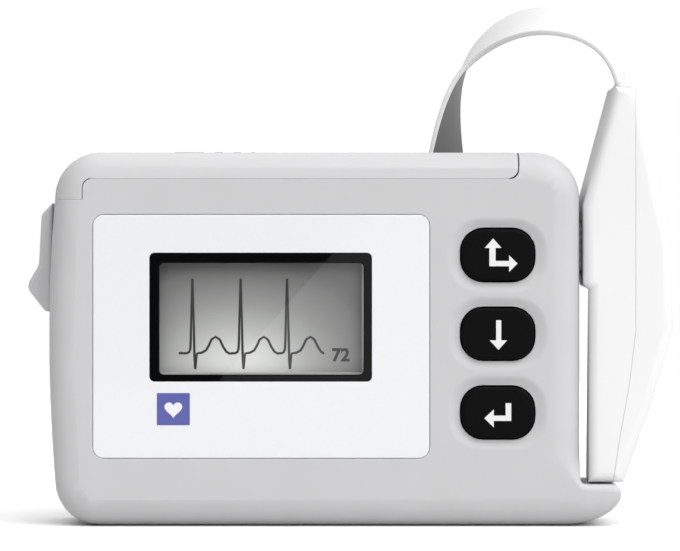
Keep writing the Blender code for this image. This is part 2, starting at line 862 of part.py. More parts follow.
def make_contacts(finish_with, parent):
    half = plate_height / 2
    plate = block_of(
        "plate_contact", (cell_right + fit_gap, cell_y - half, cell_z - half),
        (cell_right + fit_gap + plate_thickness, cell_y + half, cell_z + half))
    finish(plate, finish_with, parent)
    start = Vector((tray_left + tray_wall + fit_gap, cell_y, cell_z))
    coil = helix("coil_contact", start, (1, 0, 0), coil_radius, coil_tip_radius, coil_length,
                 coil_wire, coil_curls)
    finish(coil, finish_with, parent)


def helix(name, start, direction, start_radius, end_radius, length, wire, curls):
    """A wire coil along a direction, from one radius to the other."""
    points_a_curl = 9
    along = Vector(direction).normalized()
    side = along.orthogonal().normalized()
    other = along.cross(side)
    count = points_a_curl * curls
    rise = length - wire
    places = []
    for i in range(count + 1):
        share = i / count
        angle = 2 * math.pi * share * curls
        radius = start_radius - wire / 2 + (end_radius - start_radius) * share
        places.append(start + along * (wire / 2 + rise * share)
                      + side * (radius * math.cos(angle)) + other * (radius * math.sin(angle)))
    least = least_gap(places, wire, points_a_curl)
    print(f"{name}: least gap between turns {least / MM:.2f} mm")
    curve = bpy.data.curves.new(name, "CURVE")
    curve.dimensions = "3D"
    curve.bevel_depth = wire / 2
    curve.bevel_resolution = 1
    curve.use_fill_caps = True
    spline = curve.splines.new("POLY")
    spline.points.add(len(places) - 1)
    for point, place in zip(spline.points, places):
        point.co = (*place, 1)
    made = bpy.data.objects.new(name, curve)
    bpy.context.scene.collection.objects.link(made)
    return made


def least_gap(places, wire, points_a_curl):
    """The least gap between a coil's turns, measured on its points."""
    least = math.inf
    for i, place in enumerate(places):
        for other in places[i + points_a_curl // 2:]:
            least = min(least, (place - other).length - wire)
    return least


def make_card(card_finish, socket_finish, parent):
    bottom = tray_bottom + tray_wall + card_bottom_above_tray
    grow = card_socket_wall + fit_gap
    middle = bay_front() + grow + card_width / 2
    card = block_of(
        "memory_card", (card_x - card_thickness / 2, middle - card_width / 2, bottom),
        (card_x + card_thickness / 2, middle + card_width / 2, bottom + card_height))
    finish(card, card_finish, parent)
    floor = tray_bottom + tray_wall + fit_gap
    socket = block_of(
        "card_socket", (card_x - card_thickness / 2 - grow, middle - card_width / 2 - grow, floor),
        (card_x + card_thickness / 2 + grow, middle + card_width / 2 + grow,
         floor + card_socket_height))
    cut(socket, block_of(
        "card_slot",
        (card_x - card_thickness / 2 - fit_gap, middle - card_width / 2 - fit_gap,
         bottom - fit_gap),
        (card_x + card_thickness / 2 + fit_gap, middle + card_width / 2 + fit_gap,
         bottom + card_height)))
    finish(socket, socket_finish, parent)


# The compartment door


def make_door(finish_with, place):
    door = slab("compartment_door", body_outline(), face_y, back_y, front_round, back_round)
    keep(door, slab("door_region", door_outline(0.0), face_y - cut_over, door_back))
    cut(door, cavity("door_space"))
    bar_left = hinge_x - hinge_bar_depth / 2
    join(door, block_of("hinge_bar", (bar_left, face_y + front_round, body_height - hinge_bar_depth),
                        (door_right, door_back, body_height - wall / 4)))
    for i, side in enumerate((-1, 1)):
        middle = side * post_from_middle
        half = post_thickness / 2 + fit_gap
        cut(door, block_of(f"post_slot_{i}",
                           (bar_left - fit_gap, middle - half, door_left_seam),
                           (door_right + cut_over, middle + half, body_height + cut_over)))
    start = -post_from_middle - post_thickness - pin_radius
    cut(door, rod("door_pin_bore", (hinge_x, start, hinge_z), (0, 1, 0), pin_radius + pin_play,
                  door_back + cut_over - start, small_sides))
    finish(door, finish_with, place)


def make_hinge_pin(finish_with, parent):
    half = post_from_middle + post_thickness
    pin = rod("hinge_pin", (hinge_x, -half, hinge_z), (0, 1, 0), pin_radius, 2 * half, small_sides)
    finish(pin, finish_with, parent)


# The latch


def latch_side_x():
    """The body's left side where the latch lies."""
    return body_left - side_crown / 2


def latch_plate_x():
    """The outer face of the latch's inner plate."""
    return latch_side_x() + wall + latch_plate_clear


def stem_bottom():
    return latch_bottom + latch_height * 0.45


def plate_bottom():
    return stem_bottom() - (latch_plate_height - latch_stem_height) / 2


def spring_bottom():
    return plate_bottom() - fit_gap - spring_length


def make_latch(finish_with, place):
    side = latch_side_x() - fit_gap
    outline = [(side - x * latch_nub, latch_top - z * latch_height)
               for x, z in latch_outline_shares]
    latch = slab("door_latch", outline, latch_y - latch_depth / 2, latch_y + latch_depth / 2,
                 latch_proud / 6, latch_proud / 6)
    half = latch_stem_depth / 2
    plate = latch_plate_x()
    stem = block_of("latch_stem", (side - latch_proud / 2, latch_y - half, stem_bottom()),
                    (plate + latch_plate_thickness / 2, latch_y + half,
                     stem_bottom() + latch_stem_height))
    half = latch_plate_depth / 2
    inner = block_of("latch_plate", (plate, latch_y - half, plate_bottom()),
                     (plate + latch_plate_thickness, latch_y + half,
                      plate_bottom() + latch_plate_height))
    half = latch_tongue_depth / 2
    tongue = block_of("latch_tongue",
                      (plate, latch_y - half, plate_bottom() + latch_plate_height / 2),
                      (plate + latch_plate_thickness, latch_y + half,
                       door_left_seam + latch_tongue_reach))
    join(latch, stem, inner, tongue)
    finish(latch, finish_with, place)


def make_latch_spring(finish_with, parent):
    start = Vector((latch_plate_x() + latch_plate_thickness / 2, latch_y, spring_bottom()))
    coil = helix("latch_spring", start, (0, 0, 1), spring_radius, spring_radius, spring_length,
                 spring_wire, spring_curls)
    finish(coil, finish_with, parent)


# The input socket and the ribbon's plug


def make_input_socket(finish_with, parent):
    low = socket_centre - socket_height / 2
    socket = block_of(
        "input_socket", (socket_x - socket_width / 2, socket_front, low),
        (socket_x + socket_width / 2, back_y - fit_gap, low + socket_height))
    cut(socket, block_of(
        "plug_space",
        (socket_x - socket_width / 2 + socket_wall, socket_front + socket_wall, low + socket_wall),
        (socket_x + socket_width / 2 - socket_wall, back_y + cut_over,
         low + socket_height - socket_wall)))
    finish(socket, finish_with, parent)


def make_ribbon_plug(finish_with, parent):
    drawn_in = socket_wall + fit_gap
    front = socket_front + drawn_in
    plug = slab(
        "ribbon_plug",
        rounded_rectangle(socket_x - socket_width / 2 + drawn_in,
                          socket_x + socket_width / 2 - drawn_in,
                          socket_centre - socket_height / 2 + drawn_in,
                          socket_centre + socket_height / 2 - drawn_in, plug_round, round_steps),
        front, front + plug_depth, 0.0, plug_round / 2)
    finish(plug, finish_with, parent)


# The lead block


def block_outline(drawn_in=0.0):
    points = [(block_left + x * block_width, block_bottom + z * block_height)
              for x, z in block_outline_shares]
    return inset(points, drawn_in) if drawn_in else points


def block_blank(name, seam_side):
    """The block's hollow form, cut at the seam so that only one side is left."""
    half = block_depth / 2
    blank = slab(name, block_outline(), -half, half, block_round, block_round)
    cut(blank, slab(name + "_space", block_outline(block_wall), -half + block_wall,
                    half - block_wall))
    seam = [(block_seam_x + x * block_seam_inset, block_bottom + z * block_height)
            for z, x in block_seam_shares]
    seam[0] = (seam[0][0], block_bottom - cut_over)
    away = block_seam_x + seam_side * block_width * 2
    shift = seam_side * fit_gap / 2
    outline = [(x - shift, z) for x, z in seam]
    outline += [(away, seam[-1][1]), (away, seam[0][1])]
    if seam_side < 0:
        outline = outline[::-1]
    cut(blank, slab(name + "_other_side", outline, -half - cut_over, half + cut_over))
    return blank


def lead_socket_rows():
    """Middle, outward direction of each row of patient lead sockets, in X and Z."""
    points = block_outline()
    rows = []
    for edge, share in socket_row_shares:
        a = Vector(points[edge])
        b = Vector(points[edge + 1])
        along = (b - a).normalized()
        rows.append((a.lerp(b, share), Vector((along.y, -along.x))))
    return rows


def lead_socket_places():
    found = []
    for middle, out in lead_socket_rows():
        for side in (-1, 1):
            place = Vector((middle.x, side * lead_column_spacing / 2, middle.y))
            found.append((place, Vector((out.x, 0, out.y))))
    return found


def make_block_shells(finish_with, place):
    inner = block_blank("block_inner_shell", 1)
    outer = block_blank("block_outer_shell", -1)
    cut(inner, block_of(
        "dock_plug_hole",
        (block_left - cut_over, -dock_tongue_depth() / 2 - fit_gap, dock_tongue_low() - fit_gap),
        (block_left + block_wall + cut_over, dock_tongue_depth() / 2 + fit_gap,
         dock_tongue_low() + dock_tongue_height() + fit_gap)))
    gland = gland_box(fit_gap)
    for i, shell in enumerate((inner, outer)):
        cut(shell, block_of(f"gland_hole_{i}", *gland))
    for i, (spot, out) in enumerate(lead_socket_places()):
        start = spot - out * (lead_socket_length + cut_over)
        length = lead_socket_length + 2 * cut_over
        radius = lead_socket_radius + fit_gap
        cut(outer, rod(f"lead_hole_{i}", start, out, radius, length, small_sides))
    for shell in (inner, outer):
        finish(shell, finish_with, place)


def make_lead_sockets(finish_with, place):
    for i, (spot, out) in enumerate(lead_socket_places()):
        start = spot - out * (lead_socket_length - lead_socket_proud)
        deep = lead_socket_length - lead_bore_depth
        socket = turned(
            f"lead_socket_{i + 1:02d}", start, out,
            [(0.0, lead_socket_radius), (lead_socket_length, lead_socket_radius),
             (lead_socket_length, lead_bore_radius), (deep, lead_bore_radius)], small_sides)
        finish(socket, finish_with, place)


def make_block_board(finish_with, place):
    right = block_seam_x - 2 * fit_gap
    low = block_bottom + block_height * 0.26
    high = block_bottom + block_height * 0.78
    board = block_of("block_board", (right - block_board_thickness, -block_board_depth / 2, low),
                     (right, block_board_depth / 2, high))
    finish(board, finish_with, place)


def gland_box(grow):
    half = ribbon_width / 2 + gland_wall + fit_gap + grow
    return ((gland_x - gland_width / 2 - grow, -half, block_top - gland_height - grow),
            (gland_x + gland_width / 2 + grow, half, block_top + fit_gap + grow))


def make_gland(finish_with, place):
    gland = block_of("ribbon_gland", *gland_box(0.0))
    half = ribbon_width / 2 + fit_gap
    wide = ribbon_thickness / 2 + fit_gap
    cut(gland, block_of("gland_slot", (gland_x - wide, -half, block_top - gland_height - cut_over),
                        (gland_x + wide, half, block_top + cut_over)))
    finish(gland, finish_with, place)


# The dock


def dock_tongue_depth():
    return dock_depth - 2 * (dock_wall + dock_play)


def dock_tongue_height():
    return dock_height - 2 * (dock_wall + dock_play)


def dock_tongue_low():
    return dock_bottom + dock_wall + dock_play


def make_dock_socket(finish_with, parent):
    left = body_right - dock_reach
    socket = block_of("dock_socket", (left, -dock_depth / 2, dock_bottom),
                      (body_right, dock_depth / 2, dock_bottom + dock_height))
    cut(socket, block_of(
        "dock_pocket",
        (left + dock_wall, -dock_depth / 2 + dock_wall, dock_bottom + dock_wall),
        (body_right + cut_over, dock_depth / 2 - dock_wall, dock_bottom + dock_height - dock_wall)))
    finish(socket, finish_with, parent)


def make_dock_plug(finish_with, place):
    left = body_right - dock_reach + dock_wall + dock_play
    half = dock_tongue_depth() / 2
    plug = block_of("dock_plug", (left, -half, dock_tongue_low()),
                    (left + dock_plug_length, half, dock_tongue_low() + dock_tongue_height()))
    finish(plug, finish_with, place)


# The ribbon


def smooth_route():
    """The route's places with a smooth curve between them."""
    route = []
    for across, back, up, tilt in ribbon_route_shares:
        x = socket_x + across * (gland_x - socket_x)
        z = ribbon_end_z + up * (block_top - ribbon_end_z)
        route.append(Vector((x, back * back_y, z, math.radians(tilt))))
    found = []
    for i in range(len(route) - 1):
        before = route[max(i - 1, 0)]
        after = route[min(i + 2, len(route) - 1)]
        for step in range(ribbon_steps):
            t = step / ribbon_steps
            out = (route[i + 1] - before) / 2
            into = (after - route[i]) / 2
            found.append(
                route[i] * (2 * t**3 - 3 * t**2 + 1) + out * (t**3 - 2 * t**2 + t)
                + route[i + 1] * (3 * t**2 - 2 * t**3) + into * (t**3 - t**2)
            )
    found.append(route[-1])
    return found


def make_ribbon(finish_with, parent):
    """The flat lead, tilted a little more at each section until it lies flat on the back."""
    places = smooth_route()
    rings = []
    for i, place in enumerate(places):
        ahead = places[min(i + 1, len(places) - 1)].xyz - places[max(i - 1, 0)].xyz
        along = ahead.normalized()
        out = Vector((0, 1, 0)).cross(along).normalized()
        across = along.cross(out)
        wide = across * math.cos(place.w) + out * math.sin(place.w)
        thick = along.cross(wide)
        half = ribbon_width / 2
        edge = ribbon_thickness / 2
        corners = [(half, 0), (half - edge / 2, edge), (edge / 2 - half, edge), (-half, 0),
                   (edge / 2 - half, -edge), (half - edge / 2, -edge)]
        rings.append([place.xyz + wide * w + thick * t for w, t in corners])
    finish(skin("lead_ribbon", rings), finish_with, parent)


def clear_scene():
    for made in list(bpy.data.objects):
        bpy.data.objects.remove(made, do_unlink=True)


def main():
    clear_scene()
    grey = finish_material("housing_grey", (0.61, 0.61, 0.62), 0.55)
    white = finish_material("block_white", (0.90, 0.90, 0.90), 0.45)
    label_white = finish_material("label_white", (0.85, 0.86, 0.88), 0.25)
    black = finish_material("key_black", (0.012, 0.012, 0.012), 0.45)
    dark = finish_material("dark_plastic", (0.05, 0.05, 0.055), 0.5)
    glass = finish_material("window_clear", (0.9, 0.9, 0.9), 0.05, clear=1.0)
    lcd = finish_material("lcd_grey", (0.35, 0.36, 0.35), 0.3)
    green = finish_material("board_green", (0.03, 0.16, 0.07), 0.45)
    steel = finish_material("plain_steel", (0.6, 0.6, 0.6), 0.3, 1.0)
    cell = finish_material("cell_sleeve", (0.12, 0.13, 0.15), 0.35)
    tray = finish_material("tray_grey", (0.25, 0.25, 0.26), 0.6)

    recorder = pivot("recorder", (0, 0, 0))
    make_front_housing(grey, recorder)
    make_rear_housing(grey, recorder)
    make_screws(steel, recorder)
    make_label(label_white, recorder)
    make_bezel(black, recorder)
    finish(display_plate("display_window", window_y, window_thickness), glass, recorder)
    finish(display_plate("lcd_panel", lcd_y, lcd_thickness), lcd, recorder)
    make_keys(black)
    make_switches(dark, recorder)
    make_main_board(green, recorder)
    make_chips(dark, recorder)
    make_tray(tray, recorder)
    make_cell(cell, recorder)
    make_contacts(steel, recorder)
    make_card(dark, steel, recorder)
    make_hinge_pin(steel, recorder)
    make_latch_spring(steel, recorder)
    make_input_socket(dark, recorder)
    make_ribbon_plug(white, recorder)
    make_dock_socket(dark, recorder)
    make_ribbon(white, recorder)

    make_door(grey, pivot("door_pivot", (hinge_x, 0, hinge_z)))
    make_latch(grey, pivot("latch_pivot", (latch_side_x(), latch_y, latch_bottom)))

    lead_block = pivot("lead_block", (block_left, 0, block_bottom))
    make_block_shells(white, lead_block)
    make_lead_sockets(dark, lead_block)
    make_block_board(green, lead_block)
    make_gland(dark, lead_block)
    make_dock_plug(dark, lead_block)


main()
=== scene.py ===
# %% [markdown]
# # A pocket heart recorder, dressed for the camera
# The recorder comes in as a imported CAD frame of 49 nodes. This lesson builds its looks on top of
# that frame, one piece at a time, and never moves or reshapes a CAD node: a node is either given a
# better material or replaced by a finer mesh that stands in the same place.
# Everything is in metres, +Z is up, and the origin is the middle of the recorder's flat bottom.

# %% Load the frame
import math

import bmesh
import bpy
from mathutils import Matrix, Vector


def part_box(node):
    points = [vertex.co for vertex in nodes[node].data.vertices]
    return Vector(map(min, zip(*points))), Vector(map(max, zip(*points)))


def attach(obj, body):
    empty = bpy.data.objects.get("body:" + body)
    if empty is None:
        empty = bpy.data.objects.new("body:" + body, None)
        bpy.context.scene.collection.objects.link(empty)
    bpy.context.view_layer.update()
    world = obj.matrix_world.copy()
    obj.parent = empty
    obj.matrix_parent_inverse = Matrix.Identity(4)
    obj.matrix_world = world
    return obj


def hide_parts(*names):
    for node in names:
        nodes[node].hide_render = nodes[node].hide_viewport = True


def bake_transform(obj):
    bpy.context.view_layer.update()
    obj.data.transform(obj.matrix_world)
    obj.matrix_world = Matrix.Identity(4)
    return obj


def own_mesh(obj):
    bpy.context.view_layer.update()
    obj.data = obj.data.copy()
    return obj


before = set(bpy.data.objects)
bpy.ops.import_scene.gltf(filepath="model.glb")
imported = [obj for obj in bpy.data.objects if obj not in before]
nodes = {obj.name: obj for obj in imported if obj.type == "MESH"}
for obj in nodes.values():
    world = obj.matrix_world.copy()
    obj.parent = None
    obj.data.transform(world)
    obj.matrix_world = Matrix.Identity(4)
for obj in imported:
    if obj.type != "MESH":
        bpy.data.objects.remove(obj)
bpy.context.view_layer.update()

MM = 0.001

# %% [markdown]
# ## Camera
# The photograph looks straight at the face from some distance: the lead block's left wall shows only
# as a thin strip. A long lens 0.6 m from the face gives the same strip. The lens follows from the
# scale measured in the photograph, 5.9 pixels for each millimetre of the face.

# %% Camera
photo_width = 680
pixels_per_mm = 5.9
sensor_width = 36.0
camera_distance = 600 * MM
view_centre = Vector((4.15, 0, 42.63)) * MM
face_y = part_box("front_housing")[0].y


def link_object(name, data, place=(0, 0, 0)):
    """An object for this data, linked to the scene."""
    made = bpy.data.objects.new(name, data)
    made.location = place
    bpy.context.scene.collection.objects.link(made)
    return made


def aim(thing, target):
    """Turns a camera or a lamp so that it looks at a point."""
    thing.rotation_euler = (Vector(target) - thing.location).to_track_quat("-Z", "Y").to_euler()


view = bpy.data.cameras.new("photo_camera")
view.sensor_width = sensor_width
view.lens = sensor_width * camera_distance * pixels_per_mm / (photo_width * MM)
view.clip_end = 20
camera = link_object("photo_camera", view, (view_centre.x, face_y - camera_distance, view_centre.z))
aim(camera, view_centre)
bpy.context.scene.camera = camera
print(f"lens {view.lens:.1f} mm")

# %% [markdown]
# ## Node helpers
# The room, the materials and the growing shapes are all trees of nodes. Each node is made in one
# call with its settings and its inputs, where an input is a constant or another node's output. A tree
# then reads as a short list of steps, and the commonest steps have a function of their own.

# %% Node helpers
def feed(node, values):
    """Sets a node's inputs to constants, to a node's first output, or to a (node, output) pair."""
    for key, value in values.items():
        socket = node.inputs[key]
        source = value if isinstance(value, tuple) else (value, 0)
        if isinstance(source[0], bpy.types.Node):
            node.id_data.links.new(source[0].outputs[source[1]], socket)
        elif socket.type == "RGBA":
            socket.default_value = (*value[:3], 1)
        else:
            socket.default_value = value


def node_in(tree, kind, values=None, **settings):
    """A node with its settings and inputs. A kind without a family is a shader node."""
    made = tree.nodes.new(kind if "Node" in kind else "ShaderNode" + kind)
    for key, value in settings.items():
        setattr(made, key, value)
    feed(made, values or {})
    return made


def calc(tree, operation, *values):
    """One step of arithmetic."""
    return node_in(tree, "Math", dict(enumerate(values)), operation=operation)


def ranged(tree, value, start=(0.0, 1.0), end=(0.0, 1.0)):
    """A value carried from one range to another, and held at the ends."""
    return node_in(tree, "MapRange", {"Value": value, "From Min": start[0], "From Max": start[1],
                                      "To Min": end[0], "To Max": end[1]})


def noise(tree, place, scale, detail, roughness=0.5):
    """A cloudy pattern."""
    return node_in(tree, "TexNoise", {"Vector": place, "Scale": scale, "Detail": detail,
                                      "Roughness": roughness})


def bumped(tree, height, strength, depth, **normal):
    """A normal that leans with a height, given its depth in mm."""
    return node_in(tree, "Bump", {"Height": height, "Strength": strength, "Distance": depth * MM,
                                  **normal})


def mixed(tree, share, low, high, **settings):
    """A colour between two others."""
    return node_in(tree, "Mix", {0: share, 6: low, 7: high}, data_type="RGBA", **settings), 2


def toned(tree, share, color, low, high):
    """A colour that wavers between a darker and a lighter share of itself."""
    return mixed(tree, share, [c * low for c in color], [min(1.0, c * high) for c in color])


def ramp_in(tree, share, stops, tint, interpolation):
    """A ramp of tinted greys. Its stops are places and greys, and the first place is 0."""
    made = node_in(tree, "ValToRGB", {0: share})
    ramp = made.color_ramp
    ramp.interpolation = interpolation
    ramp.elements.remove(ramp.elements[-1])
    for at, grey in stops:
        stop = ramp.elements[0] if at == 0.0 else ramp.elements.new(at)
        stop.color = (*[grey * part for part in tint], 1)
    return made


def on_object(tree):
    """The place on the object, by which a pattern is laid out."""
    return node_in(tree, "TexCoord"), "Object"


def new_finish(name, color, roughness, **values):
    """A material and its Principled shader, with the values that are the same all over."""
    material = bpy.data.materials.new(name)
    material.use_nodes = True
    shader = material.node_tree.nodes["Principled BSDF"]
    feed(shader, {"Base Color": color, "Roughness": roughness,
                  **{key.replace("_", " "): value for key, value in values.items()}})
    return material, shader


# %% [markdown]
# ## Studio
# The picture was taken on white, with a large soft light from the upper right: the top edge of the
# housing is its brightest part and the bottom edge its darkest. An even pale world fills the room,
# and one wide soft sun gives the direction. The room is dark behind the camera, so that the glossy
# face mirrors nothing there except one pale card, whose slanting edge crosses the display's window.

# %% Studio
room_light = 0.875
room_base = 0.79
room_lean = (0.3, 0, 0.58)  # the room is lighter toward the right and the top
dark_behind = (0.86, 0.95)  # where the dark part behind the camera starts and is full
dark_sides = (0.65, 0.98)  # and the darker parts straight to the left and right
sides_middle = 0.12  # the x that lies midway between them
sun_light = 1.8
sun_place = (0.45, -0.7, 0.95)
sun_spread = 60
card_light = 1.1  # radiance
card_size = 400 * MM
card_away = 1200 * MM
card_edge = ((2.97, 46.4), (-16.5, 24.6))  # two points of its edge on the window, x and z in mm
scene = bpy.context.scene
scene.view_settings.view_transform = "Standard"
scene.view_settings.look = "None"


def slanting_card():
    """A pale card behind the camera, whose mirror image has its edge across the window."""
    card = bpy.data.lights.new("pale_card", "AREA")
    card.shape = "RECTANGLE"
    card.size = card_size
    card.size_y = card_size
    card.energy = card_light * math.pi * card_size**2
    reach = card_away / camera_distance
    ends = [Vector((x * MM + reach * (x * MM - camera.location.x), face_y - card_away,
                    z * MM + reach * (z * MM - camera.location.z))) for x, z in card_edge]
    beside = (ends[0] - ends[1]).cross(Vector((0, -1, 0))).normalized()
    beside *= math.copysign(1.0, beside.x)
    facing = Vector((0, 1, 0))
    turn = Matrix((beside, facing.cross(beside) * -1, -facing)).transposed().to_quaternion()
    lamp = link_object("pale_card", card)
    lamp.visible_camera = False
    lamp.matrix_world = Matrix.LocRotScale((ends[0] + ends[1]) / 2 + beside * card_size / 2, turn, None)


def pale_room():
    """The world: white to the camera, and a pale uneven room to everything else."""
    world = bpy.data.worlds.new("pale_room")
    world.use_nodes = True
    tree = world.node_tree
    way = (node_in(tree, "TexCoord"), "Generated")
    toward = node_in(tree, "VectorMath", {0: way, 1: (0, -1, 0)}, operation="DOT_PRODUCT")
    lean = node_in(tree, "VectorMath", {0: way, 1: room_lean}, operation="DOT_PRODUCT")
    across = (node_in(tree, "SeparateXYZ", {"Vector": way}), "X")
    far_out = calc(tree, "ABSOLUTE", calc(tree, "SUBTRACT", across, sides_middle))
    level = calc(tree, "MULTIPLY", calc(tree, "ADD", (lean, "Value"), room_base),
                 ranged(tree, (toward, "Value"), dark_behind, (1.0, 0.02)))
    level = calc(tree, "MULTIPLY", level, ranged(tree, far_out, dark_sides, (1.0, 0.28)))
    room = tree.nodes["Background"]
    feed(room, {"Color": level, "Strength": room_light})
    seen = node_in(tree, "Background", {"Color": (1, 1, 1)})
    choose = node_in(tree, "MixShader", {0: (node_in(tree, "LightPath"), "Is Camera Ray"), 1: room,
                                         2: seen})
    feed(tree.nodes["World Output"], {"Surface": choose})
    return world


sun = bpy.data.lights.new("soft_sun", "SUN")
sun.energy = sun_light
sun.angle = math.radians(sun_spread)
aim(link_object("soft_sun", sun, sun_place), (0, 0, 0))
slanting_card()
scene.world = pale_room()
print("sun, card and room are lit")

# %% [markdown]
# ## Shared effects
# Moulded plastic is never one flat colour. Its tool leaves a fine grain, hands polish its edges, and
# a little dust settles on what faces up. Each effect is one shader node group with named inputs, so
# that every material takes the same effect with its own values. The groups put out masks, heights
# and normals, and the Principled shader stays in the material.

# %% Shader groups
def new_group(name, inputs, outputs):
    """An empty shader group with its named sockets, and its two end nodes."""
    group = bpy.data.node_groups.new(name, "ShaderNodeTree")
    for key, value in inputs.items():
        socket = group.interface.new_socket(key, in_out="INPUT", socket_type="NodeSocketFloat")
        socket.default_value = value
    for key, kind in outputs.items():
        group.interface.new_socket(key, in_out="OUTPUT", socket_type="NodeSocket" + kind)
    return group, group.nodes.new("NodeGroupInput"), group.nodes.new("NodeGroupOutput")


def grain_group():
    """The tool's texture: fine bumps, and slow patches of slightly different tone."""
    group, given, out = new_group("Moulded grain", {"Grains per mm": 3.0, "Patch mm": 12.0},
                                  {"Height": "Float", "Patches": "Float"})
    place = on_object(group)
    fine = calc(group, "MULTIPLY", (given, "Grains per mm"), 1 / MM)
    wide = calc(group, "DIVIDE", 1 / MM, (given, "Patch mm"))
    feed(out, {"Height": noise(group, place, fine, 2.0, 0.55),
               "Patches": noise(group, place, wide, 3.0, 0.6)})
    return group


def edge_group():
    """Rounds the look of hard edges and says where they are, so that they can be polished."""
    group, given, out = new_group("Handled edge", {"Radius": 0.25 * MM},
                                  {"Normal": "Vector", "Worn": "Float"})
    soft = node_in(group, "Bevel", {"Radius": given}, samples=6)
    flat = (node_in(group, "NewGeometry"), "Normal")
    same = node_in(group, "VectorMath", {0: soft, 1: flat}, operation="DOT_PRODUCT")
    speck = noise(group, on_object(group), 420.0, 3.0)
    feed(out, {"Normal": soft, "Worn": calc(group, "MULTIPLY", ranged(group, (same, "Value"), (0.995, 0.86)),
                                            ranged(group, speck, (0.35, 0.6)))})
    return group


def dust_group():
    """A thin uneven film on the surfaces that face up."""
    group, given, out = new_group("Settled dust", {"Amount": 0.2}, {"Film": "Float"})
    place = node_in(group, "TexCoord")
    parts = node_in(group, "SeparateXYZ", {"Vector": (place, "Normal")})
    specks = noise(group, (place, "Object"), 900.0, 5.0, 0.7)
    film = calc(group, "MULTIPLY", ranged(group, (parts, "Z"), (0.25, 1.0)),
                ranged(group, specks, (0.42, 0.75)))
    feed(out, {"Film": calc(group, "MULTIPLY", film, given)})
    return group


grain = grain_group()
handled_edge = edge_group()
dust = dust_group()
print("groups:", grain.name, handled_edge.name, dust.name)

# %% [markdown]
# ## Moulded plastics
# The housings are a light neutral grey with a fine spark-eroded texture, the lead block is a whiter
# and smoother plastic, and the parts inside are plain dark or grey mouldings. They differ only in
# values, so one function builds them all from the shared groups.

# %% Moulded plastics
rub_tone = (0.06, 0.06, 0.06)
dust_tone = (0.62, 0.6, 0.57)


def moulded(name, color, roughness, grains=3.0, depth=0.02, worn=0.12, dusty=0.12, patches=0.03, **values):
    """A moulded plastic with grain, toned patches, polished edges and a little dust."""
    material, shader = new_finish(name, color, roughness, **values)
    tree = material.node_tree
    marks = node_in(tree, "Group", node_tree=grain)
    feed(marks, {"Grains per mm": grains})
    edges = node_in(tree, "Group", node_tree=handled_edge)
    settled = node_in(tree, "Group", node_tree=dust)
    feed(settled, {"Amount": dusty})
    tone = toned(tree, (marks, "Patches"), color, 1 - patches, 1 + patches)
    rubbed = mixed(tree, calc(tree, "MULTIPLY", (edges, "Worn"), worn), tone, rub_tone, blend_type="ADD")
    rough = ranged(tree, (marks, "Patches"), (0.3, 0.7), (roughness - 0.05, roughness + 0.05))
    feed(shader, {
        "Base Color": mixed(tree, settled, rubbed, dust_tone),
        "Roughness": calc(tree, "MULTIPLY_ADD", (edges, "Worn"), -0.18, rough),
        "Normal": bumped(tree, (marks, "Height"), 0.35, depth, Normal=(edges, "Normal")),
    })
    return material


housing_grey = moulded("housing_grey", (0.545, 0.545, 0.553), 0.55, grains=3.2, depth=0.03)
block_white = moulded("block_white", (0.81, 0.81, 0.815), 0.42, grains=2.0, depth=0.012, patches=0.015)
dark_plastic = moulded("dark_plastic", (0.045, 0.045, 0.05), 0.5)
tray_grey = moulded("tray_grey", (0.22, 0.22, 0.23), 0.6)
print("plastics:", housing_grey.name, block_white.name, dark_plastic.name, tray_grey.name)

# %% [markdown]
# ## Smooth skins
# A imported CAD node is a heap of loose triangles, so its round edges would shade as facets. A copy of
# it, with the loose corners merged, can share its normals across each round edge. Edges sharper than
# a set angle stay sharp, and the Weighted Normal modifier keeps the big flat faces flat.

# %% Finished meshes
def applied(made):
    """The object's mesh with its modifiers applied, as a new mesh, and the draft is gone."""
    bpy.context.view_layer.update()
    graph = bpy.context.evaluated_depsgraph_get()
    mesh = bpy.data.meshes.new_from_object(
        made.evaluated_get(graph), preserve_all_data_layers=True, depsgraph=graph)
    bpy.data.objects.remove(made)
    return mesh


def moved(mesh, place=(0, 0, 0), degrees=0.0, axis="X"):
    """The mesh, turned about an axis through the origin and then carried to a place in mm."""
    mesh.transform(Matrix.Translation(Vector(place) * MM)
                   @ Matrix.Rotation(math.radians(degrees), 4, axis))
    return mesh


def finished(name, mesh, body=None, material=None, replaced=()):
    """Gives a finished mesh its object, material, body and the nodes that it stands for."""
    made = link_object(name, mesh)
    if material:
        mesh.materials.clear()
        mesh.materials.append(material)
    if body:
        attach(made, body)
    if replaced:
        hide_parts(*replaced)
    print(f"{name}: {len(mesh.polygons)} faces on {body}")
    return made


def box_mm(node):
    """A node's lowest and highest corners and its middle, in mm."""
    low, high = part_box(node)
    return low / MM, high / MM, (low + high) / 2 / MM


# %% [markdown]
# ## Copies of the CAD's nodes
# A skin keeps its node's form, or moves the corners a little by a function that it is given. Where two
# faces meet under 38 degrees they shade softly. A flat plate can also keep the line around its front
# sharp, so that the shade of its round edge doesn't run into the flat.

# %% Skins
def merged(node):
    """The loose triangles of a CAD node, merged where their corners meet."""
    work = bmesh.new()
    work.from_mesh(nodes[node].data)
    bmesh.ops.remove_doubles(work, verts=work.verts, dist=0.002 * MM)
    return work


